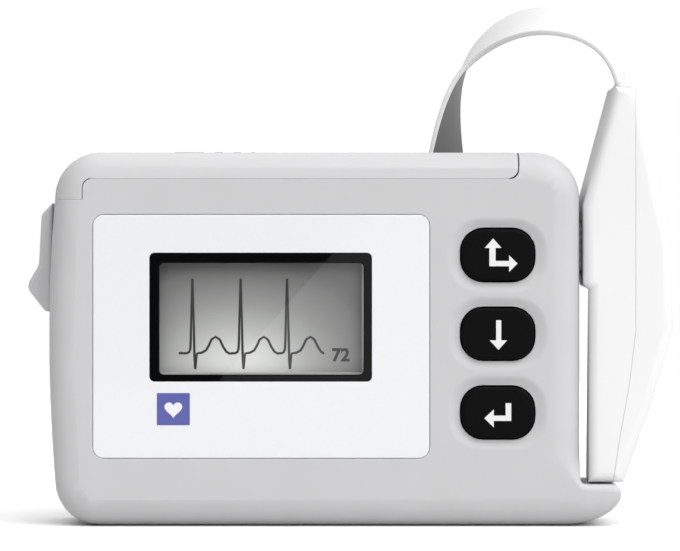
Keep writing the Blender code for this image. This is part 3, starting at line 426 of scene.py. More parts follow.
def smoothed(work, name, sharp=38.0, flat_fronts=False):
    """Smooth shading up to a sharp edge's angle, with normals weighted by the faces' areas."""
    for face in work.faces:
        face.smooth = True
    for edge in work.edges:
        soft = len(edge.link_faces) == 2 and edge.calc_face_angle(0) < math.radians(sharp)
        if soft and flat_fronts:
            fronts = [abs(face.normal.y) > 0.999 for face in edge.link_faces]
            soft = fronts[0] == fronts[1]
        edge.smooth = soft
    mesh = bpy.data.meshes.new(name)
    work.to_mesh(mesh)
    work.free()
    draft = link_object(name + "_draft", mesh)
    even = draft.modifiers.new("even", "WEIGHTED_NORMAL")
    even.keep_sharp = True
    return applied(draft)


def skin(name, node, body, material, reshape=None):
    """A merged and smoothly shaded copy of a CAD node, in its place."""
    work = merged(node)
    if reshape:
        for vertex in work.verts:
            vertex.co = reshape(vertex.co / MM) * MM
    # The CAD's materials already have the slots' names, so Blender puts a number behind these
    return finished(name, smoothed(work, name), body, material, [node])


# %% [markdown]
# ## Fine seams
# The CAD keeps 0.3 mm between parts that move or part. On the real recorder the door's front seam and
# the lead block's seam are hairlines. The skins' edges grow over most of the gap, and only the ends
# of the door's seam stay open, where the real one shows too. The lead block's upper left slope also
# stands a little farther from the recorder than in the CAD, and its left wall has a mould's draft.

# %% Skins with fine seams
seam_close = 0.285
door_drop = 0.29
door_front_seam = 59.3
door_left_seam = 55.8
near_face = -9.0  # only what lies in front of this y belongs to the face
# Where the door's seam bends at its left end
bend_x = (-39.9, -38.2)
bend_z = (55.7, 59.4)
bend_fall = (57.3, 58.0)  # above these heights the bend's edge comes down, too
bend_top = 59.28
bend_step = 0.2
# Where it turns up at its right end: a round corner, then an upright part
corner_x = 33.0
corner_z = (59.32, 60.75)
corner_middle = Vector((32.8, 0, 60.8))
corner_growth = 0.13
upright_x = 34.17
upright_top = 63.4
housing_edge_x = (34.55, 35.1)
housing_edge_z = (61.1, 63.4)
housing_edge_place = 34.58
# The lead block's left shell
block_seam = ((7.4, 50.28), (15.0, 51.42), (31.6, 54.15), (76.0, 54.15))  # heights and places
slope_shift = 1.2
slope_z = (54.6, 60.5)
wall_draft = 1.25
draft_y = (-9.5, 9.0)
draft_z = (40.0, 42.0)
seam_reach = 6.0  # both run out within this distance of the seam


def share_between(value, low, high):
    """A smooth share from 0 to 1 as a value goes from low to high."""
    share = min(1.0, max(0.0, (value - low) / (high - low)))
    return share * share * (3 - 2 * share)


def in_front(at, span_x, span_z):
    """Whether a place of the face lies in a rectangle."""
    return at.y < near_face and span_x[0] < at.x < span_x[1] and span_z[0] < at.z < span_z[1]


def close_door(at):
    """The door's lower rims, carried down over the gap, and its seam's two ends."""
    front = abs(at.z - door_front_seam) < 0.01 and at.y < near_face
    left = abs(at.z - door_left_seam) < 0.01
    step = Vector()
    if in_front(at, bend_x, bend_z):
        fall = bend_step * share_between(at.z, *bend_fall) if at.z < bend_top else 0
        step = Vector((bend_step, 0, -fall))
    if at.x > upright_x and at.z > corner_z[1]:
        step = Vector((-0.3 if at.z > upright_top else 0.16, 0, 0))
    elif at.x > corner_x and corner_z[0] < at.z < corner_z[1]:
        step = (at - Vector((corner_middle.x, at.y, corner_middle.z))) * corner_growth
    return at + step - Vector((0, 0, door_drop if front or left else 0.0))


def close_end(at):
    """The front housing's edge beside the door's right end, brought nearer to it."""
    beside_door = in_front(at, housing_edge_x, housing_edge_z)
    return Vector((housing_edge_place, at.y, at.z)) if beside_door else at


def seam_place(height):
    """Where the lead block's seam lies at a height."""
    for (z1, x1), (z2, x2) in zip(block_seam, block_seam[1:]):
        if height <= z2:
            return x1 + (x2 - x1) * (height - z1) / (z2 - z1)
    return block_seam[-1][1]


def shape_block(at):
    """The lead block's left shell, with its fine seam, its slope and its draft."""
    seam = seam_place(at.z)
    if at.x > seam - 0.06:
        return at + Vector((seam_close, 0, 0))
    near_left = min(1.0, max(0.0, (seam - at.x) / seam_reach))
    slope = slope_shift * share_between(at.z, *slope_z)
    draft = wall_draft * share_between(at.y, *draft_y) * (1 - share_between(at.z, *draft_z))
    return at + Vector(((slope + draft) * near_left, 0, 0))


skin("rear_shell", "rear_housing", "recorder", housing_grey)
skin("cell_door", "compartment_door", "door", housing_grey, close_door)
skin("block_left_shell", "block_inner_shell", "lead_block", block_white, shape_block)
skin("block_right_shell", "block_outer_shell", "lead_block", block_white)

# %% [markdown]
# ## The key scoops
# Round each key the real face dips in a soft scoop with no hard rim. The CAD dish has the same
# outline and depth but straight sides. On the skin's copy its faces come out, and rings of points on
# a smooth S profile close the place between the rim and the key's opening. The outer ring is the
# dish's own rim, so the flat face and the scoop share their points and their shading.

# %% Front shell with its scoops
scoop_depth = 0.5 * MM
dish_depth = 1.0 * MM  # the CAD dish's depth, where the key's opening starts
scoop_reach = (8.65 * MM, 6.45 * MM)  # just past the dish's half width and half height
scoop_opening = (0.762, 0.7516)  # the opening's share of the dish, across and up
scoop_rings = 10
cap_share = (0.98, 0.967)  # the caps and their openings are a little smaller than the CAD's
tiny = 0.02 * MM


def scoop(work, key):
    """Swaps the hard dish round one key for a soft one with the same rim."""
    low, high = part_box(key)
    centre = (low + high) / 2

    def near(place):
        return abs(place.x - centre.x) < scoop_reach[0] and abs(place.z - centre.z) < scoop_reach[1]

    inside = [f for f in work.faces
              if all(near(v.co) and v.co.y < face_y + dish_depth + tiny for v in f.verts)
              and any(v.co.y > face_y + tiny for v in f.verts)]
    bmesh.ops.delete(work, geom=inside, context="FACES")
    rim = [e for e in work.edges if e.is_boundary
           and all(near(v.co) and abs(v.co.y - face_y) < tiny for v in e.verts)]
    places = {v: v.co.copy() for e in rim for v in e.verts}
    last = {v: v for v in places}
    for ring in range(1, scoop_rings + 3):
        share = min(1.0, ring / scoop_rings)
        dip = share_between(share, 0, 1) * scoop_depth if ring <= scoop_rings else dish_depth
        opening = scoop_opening if ring == scoop_rings + 2 else [
            of_dish * of_cap for of_dish, of_cap in zip(scoop_opening, cap_share)]
        turn = {}
        for v, place in places.items():
            x = centre.x + (place.x - centre.x) * (1 - (1 - opening[0]) * share)
            z = centre.z + (place.z - centre.z) * (1 - (1 - opening[1]) * share)
            turn[v] = work.verts.new((x, face_y + dip, z))
        for e in rim:
            a, b = e.verts
            face = work.faces.new((last[a], last[b], turn[b], turn[a]))
            face.normal_update()
            if face.normal.y > 0:
                face.normal_flip()
        last = turn
    print(f"{key}: {len(inside)} hard faces out, {len(rim)} rim edges")


front = merged("front_housing")
for key in ("key_lower", "key_middle", "key_upper"):
    scoop(front, key)
for vertex in front.verts:
    vertex.co = close_end(vertex.co / MM) * MM
finished("front_shell", smoothed(front, "front_shell"), "recorder", housing_grey, ["front_housing"])

# %% [markdown]
# ## Flat printed and moulded pieces
# The label, the window's frame and the symbols are flat shapes with outlines. Blender's 2D curve
# fills an outline with its holes, gives it a thickness and rounds its edges in one step, so each is
# drawn as outlines in millimetres of the face, x to the right and z up, then made a mesh.

# %% Flat shapes
def rounded(left, right, bottom, top, corner, steps=8):
    """A rounded rectangle's outline."""
    points = []
    corners = (((right, bottom), -90), ((right, top), 0), ((left, top), 90), ((left, bottom), 180))
    for (x, z), start in corners:
        cx = x + (corner if x == left else -corner)
        cz = z + (corner if z == bottom else -corner)
        for i in range(steps + 1):
            angle = math.radians(start + 90 * i / steps)
            points.append((cx + corner * math.cos(angle), cz + corner * math.sin(angle)))
    return points


def framed(low, high, inset, corner):
    """A rounded outline inside a box, or outside it where the inset is negative."""
    return rounded(low.x + inset, high.x - inset, low.z + inset, high.z - inset, corner)


def flat_mesh(name, outlines, front, thickness, edge=0.0):
    """Filled outlines in mm, from the plane y = front mm backward, as a mesh in its place."""
    curve = bpy.data.curves.new(name, "CURVE")
    curve.dimensions = "2D"
    curve.fill_mode = "BOTH"
    curve.extrude = (thickness / 2 - edge) * MM
    curve.bevel_depth = edge * MM
    curve.bevel_resolution = 2
    for outline in outlines:
        spline = curve.splines.new("POLY")
        spline.points.add(len(outline) - 1)
        for point, (x, z) in zip(spline.points, outline):
            point.co = (x * MM, z * MM, 0, 1)
        spline.use_cyclic_u = True
    return moved(applied(link_object(name + "_draft", curve)), (0, front + thickness / 2, 0), 90)


def joined(name, meshes):
    """Several meshes as one, smoothly shaded up to their sharp edges. Material numbers are kept."""
    work = bmesh.new()
    for mesh in meshes:
        work.from_mesh(mesh)
    bmesh.ops.remove_doubles(work, verts=work.verts, dist=0.001 * MM)
    return smoothed(work, name, flat_fronts=True)


# %% [markdown]
# ## The latch
# The thumb piece outside the wall has wide soft edges, which the CAD leaves out. Its side outline is
# filled and rounded like the flat pieces, 0.7 mm all round. The plate and the tongue inside the
# recorder are cut from the CAD's skin, so the latch stays one piece that slides on its own body.

# %% Latch
latch_edge = 0.7
thumb_depth = (-1.5, 7.5)
wall_outside = -45.8
thumb_outline = [
    (-46.2, 53.45), (-46.35, 53.3), (-46.72, 52.75), (-46.95, 48.6), (-47.15, 44.7), (-47.5, 43.7),
    (-48.15, 42.6), (-48.85, 41.4), (-49.0, 40.8), (-48.85, 40.25), (-46.75, 37.55), (-46.4, 37.15),
    (-46.2, 37.1),
]
thumb = flat_mesh("thumb", [thumb_outline], thumb_depth[0], thumb_depth[1] - thumb_depth[0], latch_edge)
plate = merged("door_latch")
bmesh.ops.bisect_plane(plate, geom=plate.verts[:] + plate.edges[:] + plate.faces[:],
                       plane_co=(wall_outside * MM, 0, 0), plane_no=(-1, 0, 0), clear_outer=True)
bmesh.ops.holes_fill(plate, edges=[edge for edge in plate.edges if edge.is_boundary])
finished("thumb_latch", joined("thumb_latch", [thumb, smoothed(plate, "plate")]), "latch", housing_grey,
         ["door_latch"])

# %% [markdown]
# ## The face label
# A printed plastic film lies in a shallow pocket of the face, with a thin dark gap all round. It is
# white under a clear gloss layer, and very slightly uneven, which is what makes a real film's
# reflections waver. Its violet square carries a plain heart, and the rest is left bare.

# %% Face label
film_edge = 0.12
film_corner = 1.8
grown_by = 0.22  # the film's edge comes nearer to the pocket's wall
bezel_gap = 0.04
bezel_corner = 1.0
print_depth = 0.03
square = (-26.9, -21.3, 17.25, 22.7)  # left, right, bottom and top


def film(name, color, roughness=0.3, coat=0.6):
    """Ink under a clear gloss layer that isn't quite flat."""
    material, shader = new_finish(name, color, roughness, Coat_Weight=coat, Coat_Roughness=0.06)
    tree = material.node_tree
    place = on_object(tree)
    feed(shader, {"Base Color": toned(tree, noise(tree, place, 2600.0, 2.0), color, 0.975, 1.02),
                  "Normal": bumped(tree, noise(tree, place, 160.0, 2.0), 0.4, 0.004)})
    return material


def heart(x, z, size):
    """A plain heart's outline."""
    points = []
    for i in range(48):
        a = 2 * math.pi * i / 48
        points.append((x + size * 0.5 * math.sin(a) ** 3,
                       z + size * (0.41 * math.cos(a) - 0.16 * math.cos(2 * a)
                                   - 0.06 * math.cos(3 * a) - 0.03 * math.cos(4 * a))))
    return points


label_white = film("label_white", (0.785, 0.8, 0.815))
label_violet = film("label_violet", (0.08, 0.092, 0.36))
symbol_white = film("symbol_white", (0.8, 0.81, 0.83), coat=0.2)
low, high, middle = box_mm("face_label")
bezel_low, bezel_high, middle = box_mm("display_bezel")
label = flat_mesh("label", [framed(low, high, film_edge - grown_by, film_corner - film_edge),
                            framed(bezel_low, bezel_high, -bezel_gap, bezel_corner)],
                  low.y, high.y - low.y, film_edge)
finished("face_film", joined("face_film", [label]), "recorder", label_white, ["face_label"])
mark = heart(-24.1, 20.0, 3.0)
print_front = low.y - print_depth / 2
finished("violet_square", flat_mesh("violet_square", [rounded(*square, 0.05, 2), mark], print_front,
                                    print_depth), "recorder", label_violet)
finished("heart_mark", flat_mesh("heart_mark", [mark], print_front, print_depth), "recorder",
         symbol_white)

# %% [markdown]
# ## The display
# From front to back: a gloss black frame, a clear window, and the LCD panel. The panel isn't lit.
# Its grey is a painted reflection of the room: dark grey at the top and light grey at the bottom
# middle, where a real polariser throws back more of the room. The window is a mix of clear and
# mirror by Fresnel, which is how thin
# glass behaves and leaves the panel fully lit. Only the faces that look outward mirror: light that
# has gone straight through would meet the back faces too steeply and count as trapped.

# %% Frame and window
sight_low = Vector((bezel_low.x + 1.75, 0, bezel_low.z + 1.25))
sight_high = Vector((bezel_high.x - 1.45, 0, bezel_high.z - 1.8))
lip = 0.6
lip_edge = 0.08
lip_corner = 0.8
frame_wall = 0.6


def black_gloss():
    """A gloss black moulding, faintly smeared."""
    material, shader = new_finish("gloss_black", (0.0028, 0.0028, 0.003), 0.06, Specular_IOR_Level=0.17)
    tree = material.node_tree
    edges = node_in(tree, "Group", node_tree=handled_edge)
    feed(edges, {"Radius": 0.15 * MM})
    smear = noise(tree, on_object(tree), 260.0, 4.0, 0.7)
    feed(shader, {"Roughness": ranged(tree, smear, (0.4, 0.8), (0.004, 0.02)),
                  "Normal": (edges, "Normal")})
    return material


def thin_glass():
    """Clear glass whose outward faces mirror a little, more where they are seen at a slant."""
    material = bpy.data.materials.new("window_clear")
    material.use_nodes = True
    tree = material.node_tree
    tree.nodes.remove(tree.nodes["Principled BSDF"])
    outward = calc(tree, "SUBTRACT", 1.0, (node_in(tree, "NewGeometry"), "Backfacing"))
    share = calc(tree, "MULTIPLY", node_in(tree, "Fresnel", {"IOR": 1.49}), outward)
    clear = node_in(tree, "BsdfTransparent", {"Color": (0.97, 0.975, 0.97)})
    mirror = node_in(tree, "BsdfGlossy", {"Roughness": 0.0})
    feed(tree.nodes["Material Output"],
         {"Surface": node_in(tree, "MixShader", {0: share, 1: clear, 2: mirror})})
    return material


def pane(node, corner):
    """A plate with round corners that fills a node's box."""
    low, high, middle = box_mm(node)
    return joined(node, [flat_mesh(node, [framed(low, high, 0.0, corner)], low.y, high.y - low.y)])


front_ring = flat_mesh("front_ring", [framed(bezel_low, bezel_high, lip_edge, lip_corner),
                                      framed(sight_low, sight_high, -lip_edge, lip_corner)],
                       bezel_low.y, lip, lip_edge)
wall_ring = flat_mesh("wall_ring", [framed(bezel_low, bezel_high, 0.02, 0.9),
                                    framed(bezel_low, bezel_high, frame_wall, 0.1)],
                      bezel_low.y + lip, bezel_high.y - bezel_low.y - lip)
finished("display_frame", joined("display_frame", [front_ring, wall_ring]), "recorder", black_gloss(),
         ["display_bezel"])
finished("clear_window", pane("display_window", 0.4), "recorder", thin_glass(), ["display_window"])

# %% [markdown]
# ## The LCD's face
# The panel's painted reflection is one soft ramp around its brightest place, so it needs no picture. A
# brick pattern with hair-thin joints cuts it into cells, and the light that gets in at the panel's right
# and lower edges is added as two narrow bands of painted highlight.

# %% LCD panel
panel_bottom = box_mm("lcd_panel")[0].z
# The painted reflection is lightest here, a little below the panel's lower edge
lightest = (-13.0 * MM, 0, (panel_bottom - 0.6) * MM)
reflection_reach = (26.2 * MM, 21.2 * MM)  # how far the light part reaches, across and up
reflection_greys = ((0.0, 0.95), (0.2, 0.86), (0.42, 0.55), (0.66, 0.33), (0.9, 0.23), (1.0, 0.19))
cell_size = 0.28 * MM
cell_gap = 0.03 * MM
# Painted highlight where light gets in at the panel's right and lower rim
rim_highlight_tone = (0.62, 0.62, 0.61)


def lcd_face():
    """The painted reflection in fine cells, with a painted highlight on the right and lower rim."""
    material, shader = new_finish("lcd_grey", (0.3, 0.3, 0.3), 0.3, Specular_IOR_Level=0.0)
    tree = material.node_tree
    place = on_object(tree)
    shift = node_in(tree, "VectorMath", {0: place, 1: lightest}, operation="SUBTRACT")
    spread = node_in(tree, "VectorMath", {0: shift, 1: (1 / reflection_reach[0], 0, 1 / reflection_reach[1])},
                     operation="MULTIPLY")
    far = node_in(tree, "VectorMath", {0: spread}, operation="LENGTH")
    painted_reflection = ramp_in(tree, (far, "Value"), reflection_greys, (1, 1, 0.99), "B_SPLINE")
    upright = node_in(tree, "Mapping", {"Vector": place, "Rotation": (math.radians(-90), 0, 0)})
    cells = node_in(tree, "TexBrick", {
        "Vector": upright, "Color1": (1, 1, 1), "Color2": (1, 1, 1), "Mortar": (0.93, 0.93, 0.93),
        "Scale": 1.0, "Mortar Size": cell_gap, "Brick Width": cell_size, "Row Height": cell_size,
        "Bias": 0.0}, offset=0.0)
    parts = node_in(tree, "SeparateXYZ", {"Vector": place})
    right_rim = calc(tree, "GREATER_THAN", (parts, "X"), (sight_high.x - 0.28) * MM)
    lower_rim = calc(tree, "LESS_THAN", (parts, "Z"), (sight_low.z + 0.3) * MM)
    feed(shader, {"Base Color": mixed(tree, calc(tree, "MAXIMUM", right_rim, lower_rim),
                                      mixed(tree, 1.0, painted_reflection, cells, blend_type="MULTIPLY"), rim_highlight_tone)})
    return material


finished("lcd_glass", pane("lcd_panel", 0.3), "recorder", lcd_face(), ["lcd_panel"])

# %% [markdown]
# ## Geometry Nodes helpers
# What repeats or follows a path is grown by a node tree: the trace on the display, the flat lead,
# the springs, the screws, the patient sockets and the grip ribs. Each tree has named inputs for its
# sizes. A draft object carries the tree for a moment, and the result is kept as a plain mesh.

# %% Trees
def new_tree(name, **inputs):
    """An empty geometry tree with its named inputs, and its two end nodes."""
    tree = bpy.data.node_groups.new(name, "GeometryNodeTree")
    for key, kind in {"Geometry": "Geometry", **inputs, "Finish": "Material"}.items():
        tree.interface.new_socket(key.replace("_", " "), in_out="INPUT", socket_type="NodeSocket" + kind)
    tree.interface.new_socket("Geometry", in_out="OUTPUT", socket_type="NodeSocketGeometry")
    return tree, tree.nodes.new("NodeGroupInput"), tree.nodes.new("NodeGroupOutput")


def ended(tree, given, out, last):
    """Ends a tree: its copies are made real and take the finish."""
    real = node_in(tree, "GeometryNodeRealizeInstances", {"Geometry": last})
    paint = node_in(tree, "GeometryNodeSetMaterial", {"Geometry": real, "Material": (given, "Finish")})
    feed(out, {"Geometry": paint})
    return tree


def swept(tree, line, section):
    """A section swept along a line, smoothly shaded."""
    sweep = node_in(tree, "GeometryNodeCurveToMesh", {"Curve": line, "Profile Curve": section,
                                                      "Fill Caps": True})
    return node_in(tree, "GeometryNodeSetShadeSmooth", {"Geometry": sweep})


def named_vector(tree, name):
    """A vector that the points carry."""
    return node_in(tree, "GeometryNodeInputNamedAttribute", {"Name": name},
                   data_type="FLOAT_VECTOR"), "Attribute"


def grown(name, tree, start, values):
    """Runs a tree on a mesh and returns the plain mesh that it grows."""
    draft = link_object(name + "_draft", start)
    modifier = draft.modifiers.new("nodes", "NODES")
    modifier.node_group = tree
    for item in tree.interface.items_tree:
        if item.item_type == "SOCKET" and item.in_out == "INPUT" and item.name in values:
            modifier[item.identifier] = values[item.name]
    return applied(draft)


def places_mesh(name, places, vectors, chained=False):
    """A mesh of bare points in mm, in a chain or not, with named vectors on the points."""
    mesh = bpy.data.meshes.new(name)
    pairs = [(i, i + 1) for i in range(len(places) - 1)] if chained else []
    mesh.from_pydata([tuple(Vector(place) * MM) for place in places], pairs, [])
    for key, values in vectors.items():
        attribute = mesh.attributes.new(key, "FLOAT_VECTOR", "POINT")
        attribute.data.foreach_set("vector", [c for v in values for c in v])
    return mesh


# %% [markdown]
# ## The trace
# The display shows a heart trace of three equal beats. One beat is a list of points, repeated at
# three places along the baseline. The tree turns the chain of points into a curve and sweeps a small
# circle along it, then presses the result flat, as thin as LCD segments look.

# %% Trace on the display
def trace_tree():
    """A thin line along a chain of points, pressed flat against the panel."""
    tree, given, out = new_tree("Pressed line", Line_Width="Float", Flatness="Float", Front="Float")
    line = node_in(tree, "GeometryNodeMeshToCurve", {"Mesh": given})
    radius = calc(tree, "MULTIPLY", (given, "Line Width"), 0.5)
    circle = node_in(tree, "GeometryNodeCurvePrimitiveCircle", {"Resolution": 8, "Radius": radius})
    size = node_in(tree, "CombineXYZ", {"X": 1.0, "Y": (given, "Flatness"), "Z": 1.0})
    place = node_in(tree, "CombineXYZ", {"Y": (given, "Front")})
    press = node_in(tree, "GeometryNodeTransform", {"Geometry": swept(tree, line, circle),
                                                    "Scale": size, "Translation": place})
    return ended(tree, given, out, press)


# One beat, as places across from its peak and up from the baseline, in mm
beat = [
    (-1.45, -0.05), (-0.95, -0.03), (-0.55, 0.15), (-0.35, 0.75), (-0.28, 2.2), (-0.06, 12.5),
    (0.06, 12.5), (0.28, 2.2), (0.36, -1.0), (0.43, -2.6), (0.54, -2.6), (0.64, -1.0), (0.78, -0.08),
    (1.6, 0.05), (2.3, 0.45), (2.75, 1.2), (3.25, 2.3), (3.95, 2.75), (4.65, 2.3), (5.2, 1.1),
    (5.75, 0.25), (6.3, -0.1),
]
beat_places = (-20.95, -12.75, -4.85)
baseline = 29.45
line_width = 0.42
number_size = 3.05
number_place = (2.75, 28.1)
lcd_ink = film("lcd_ink", (0.035, 0.035, 0.037), 0.4, coat=0.0)
lcd_front = box_mm("lcd_panel")[0].y
trace_points = [(-23.3, 0, baseline - 0.05), (-22.9, 0, baseline)]
for at in beat_places:
    trace_points += [(at + x, 0, baseline + z) for x, z in beat]
finished("heart_trace", grown("trace", trace_tree(), places_mesh("trace", trace_points, {}, True), {
    "Line Width": line_width * MM, "Flatness": 0.06, "Front": lcd_front * MM, "Finish": lcd_ink}),
    "recorder")
words = bpy.data.curves.new("rate_number", "FONT")
words.body = "72"
words.size = number_size * MM
words.extrude = 0.01 * MM
words.offset = 0.1 * MM
number = moved(applied(link_object("rate_draft", words)),
               (number_place[0], lcd_front - 0.01, number_place[1]), 90)
finished("rate_number", number, "recorder", lcd_ink)

# %% [markdown]
# ## The flat lead
# A flat flexible lead leaves the top of the lead block, turns over in one loop and goes down behind
# the recorder to its plug, turning flat against the back on its way. The tree sweeps a rounded flat
# section along its middle line, with the section's own direction given at each point. It keeps how
# far across and through the section each point lies, so that the finish can draw the fine ribs of the
# conductors and make the inner side darker.

# %% Flat lead
# The middle line in mm, with the tilt of the section in degrees
lead_route = [
    (52.9, 0.0, 71.6, 8), (52.9, 0.0, 75.6, 9), (51.1, 0.5, 81.0, 15), (46.7, 2.6, 85.0, 22),
    (39.5, 8.0, 87.3, 28), (32.6, 14.8, 86.0, 21), (27.5, 18.6, 82.0, 5), (24.9, 19.0, 76.6, -7),
    (23.6, 18.7, 70.6, -18), (23.1, 18.3, 63.8, -30), (22.8, 17.6, 56.0, -47),
    (22.5, 15.7, 47.6, -70), (22.5, 13.9, 40.2, -87), (22.5, 13.55, 33.5, -90),
]
lead_steps = 12
lead_softening = 60  # rounds of evening out, which take the corners off the route
lead_width = 12.0 * MM
lead_thickness = 1.0 * MM
lead_edge = 0.4 * MM
conductor_pitch = 1.05 * MM
# The darker grey of the lead's inner side
inner_side_tone = (0.095, 0.095, 0.096)


def smooth_route():
    """Places and tilts on a smooth curve through the route's points."""
    points = [Vector((x, y, z, math.radians(tilt))) for x, y, z, tilt in lead_route]
    found = []
    for i in range(len(points) - 1):
        out = (points[i + 1] - points[max(i - 1, 0)]) / 2
        into = (points[min(i + 2, len(points) - 1)] - points[i]) / 2
        for step in range(lead_steps):
            t = step / lead_steps
            found.append(points[i] * (2 * t**3 - 3 * t**2 + 1) + out * (t**3 - 2 * t**2 + t)
                         + points[i + 1] * (3 * t**2 - 2 * t**3) + into * (t**3 - t**2))
    found.append(points[-1])
    for _ in range(lead_softening):
        found[2:-2] = [(found[i - 1] + found[i] * 2 + found[i + 1]) / 4
                       for i in range(2, len(found) - 2)]
    return found


def wide_ways(places):
    """The direction across the lead at each place."""
    ways = []
    for i, place in enumerate(places):
        ahead = places[min(i + 1, len(places) - 1)].xyz - places[max(i - 1, 0)].xyz
        along = ahead.normalized()
        out = Vector((0, 1, 0)).cross(along).normalized()
        ways.append(along.cross(out) * math.cos(place.w) + out * math.sin(place.w))
    return ways


def stored(tree, geometry, name, value):
    """Keeps a number on each point, under a name."""
    return node_in(tree, "GeometryNodeStoreNamedAttribute", {"Geometry": geometry, "Name": name,
                                                             "Value": value},
                   data_type="FLOAT", domain="POINT")


def lead_tree():
    """A flat section with round edges along a chain of points that carry its wide way."""
    tree, given, out = new_tree("Flat lead", Width="Float", Thickness="Float", Edge_Round="Float")
    line = node_in(tree, "GeometryNodeMeshToCurve", {"Mesh": given})
    twisted = node_in(tree, "GeometryNodeSetCurveNormal",
                      {"Curve": line, "Normal": named_vector(tree, "wide")}, mode="FREE")
    section = node_in(tree, "GeometryNodeCurvePrimitiveQuadrilateral",
                      {"Width": (given, "Width"), "Height": (given, "Thickness")})
    section = node_in(tree, "GeometryNodeFilletCurve",
                      {"Curve": section, "Radius": (given, "Edge Round"), "Count": 5}, mode="POLY")
    parts = node_in(tree, "SeparateXYZ", {"Vector": node_in(tree, "GeometryNodeInputPosition")})
    section = stored(tree, section, "across", (parts, "X"))
    section = stored(tree, section, "side", (parts, "Y"))
    return ended(tree, given, out, swept(tree, twisted, section))


def sheath():
    """A white flexible sheath, ribbed over its conductors and dark on its inner side."""
    material, shader = new_finish("ribbon_white", (0.84, 0.84, 0.85), 0.38)
    tree = material.node_tree
    across = (node_in(tree, "Attribute", attribute_name="across"), "Fac")
    side = (node_in(tree, "Attribute", attribute_name="side"), "Fac")
    ribs = calc(tree, "COSINE", calc(tree, "MULTIPLY", across, 2 * math.pi / conductor_pitch))
    cloudy = noise(tree, on_object(tree), 90.0, 3.0)
    tone = mixed(tree, cloudy, (0.75, 0.75, 0.75), (0.79, 0.79, 0.79))
    inner = ranged(tree, side, (0.40 * lead_thickness, 0.46 * lead_thickness))
    feed(shader, {"Base Color": mixed(tree, inner, tone, inner_side_tone),
                  "Roughness": ranged(tree, cloudy, end=(0.3, 0.48)),
                  "Normal": bumped(tree, ribs, 0.12, 0.03)})
    return material


lead_places = smooth_route()
lead_line = places_mesh("lead_line", [p.xyz for p in lead_places], {"wide": wide_ways(lead_places)}, True)
lead_mesh = grown("lead", lead_tree(), lead_line, {
    "Width": lead_width, "Thickness": lead_thickness, "Edge Round": lead_edge, "Finish": sheath()})
lead = finished("flat_lead", lead_mesh, replaced=["lead_ribbon"])
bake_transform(lead)

# %% [markdown]
# ## Keys and their symbols
# Each key is a matt black cap with a soft edge, and its white symbol is printed on top. The symbols
# are arrows, drawn as outlines in millimetres from the key's middle.

# %% Keys
key_black = moulded("key_black", (0.0032, 0.0032, 0.0034), 0.6, grains=5.0, depth=0.012, worn=0.1,
                    dusty=0.002, patches=0.15, Specular_IOR_Level=0.06)
print_white = film("print_white", (0.78, 0.78, 0.78), 0.5, coat=0.0)
symbols = (
    ("key_upper", "upper_key", [
        (-0.82, 2.8), (-2.25, 1.2), (-1.45, 1.2), (-1.45, -1.9), (1.9, -1.9), (1.9, -2.85),
        (3.32, -1.45), (1.9, -0.05), (1.9, -1.0), (-0.4, -1.0), (-0.4, 1.2), (0.6, 1.2)]),
    ("key_middle", "middle_key", [
        (-0.3, 2.3), (0.56, 2.3), (0.56, -1.1), (1.55, -1.1), (0.1, -2.7), (-1.4, -1.1), (-0.3, -1.1)]),
    ("key_lower", "lower_key", [
        (1.3, 1.6), (2.25, 1.6), (2.25, -1.4), (-0.7, -1.4), (-0.7, -2.5), (-2.3, -0.95),
        (-0.7, 0.55), (-0.7, -0.5), (1.3, -0.5)]),
)
for node, body, outline in symbols:
    low, high, centre = box_mm(node)

    def drawn_in(at):
        """A place on the cap, drawn in toward its middle."""
        return Vector((centre.x + (at.x - centre.x) * cap_share[0], at.y,
                       centre.z + (at.z - centre.z) * cap_share[1]))

    skin(body + "_cap", node, body, key_black, drawn_in)
    placed = [(centre.x + x, centre.z + z) for x, z in outline]
    finished(body + "_symbol", flat_mesh(node + "_symbol", [placed], low.y - 0.02, 0.04), body,
             print_white)

# %% [markdown]
# ## Round parts
# The cell, the screws, the sockets and the springs are all round. A turned part is one profile, a
# list of heights and radii, swept round an axis as on a lathe. The rings of points are closed by hand
# and the two ends are filled, so no doubled seam is left.

# %% Turned parts
def ring_outline(radius, sides=40):
    """A circle's outline."""
    return [(radius * math.cos(2 * math.pi * i / sides), radius * math.sin(2 * math.pi * i / sides))
            for i in range(sides)]


def ring_skin(name, rings, sharp):
    """A closed mesh through rings of places in mm, which all have the same number of points."""
    work = bmesh.new()
    loops = [[work.verts.new(Vector(place) * MM) for place in ring] for ring in rings]
    for low_loop, high_loop in zip(loops, loops[1:]):
        for i in range(len(low_loop)):
            j = (i + 1) % len(low_loop)
            work.faces.new((low_loop[i], low_loop[j], high_loop[j], high_loop[i]))
    work.faces.new(loops[0][::-1])
    work.faces.new(loops[-1])
    bmesh.ops.recalc_face_normals(work, faces=work.faces)
    return smoothed(work, name, sharp)


def turned(name, profile, sides=40):
    """A closed round mesh about Z from (height, radius) pairs in mm."""
    return ring_skin(name, [[(x, y, height) for x, y in ring_outline(radius, sides)]
                            for height, radius in profile], 30.0)


def metal(name, color, roughness):
    """A drawn or turned metal with fine lines along one direction."""
    material, shader = new_finish(name, color, roughness, Metallic=1.0)
    tree = material.node_tree
    place = on_object(tree)
    lines = noise(tree, node_in(tree, "Mapping", {"Vector": place, "Scale": (1, 1, 14)}), 900.0, 3.0)
    feed(shader, {"Base Color": toned(tree, noise(tree, place, 180.0, 4.0), color, 0.82, 1.08),
                  "Roughness": ranged(tree, lines, end=(roughness * 0.7, roughness * 1.4)),
                  "Normal": bumped(tree, lines, 0.3, 0.02)})
    return material


plain_steel = metal("plain_steel", (0.56, 0.56, 0.57), 0.3)
contact_gold = metal("contact_gold", (0.83, 0.62, 0.28), 0.22)
print("metals:", plain_steel.name, contact_gold.name)

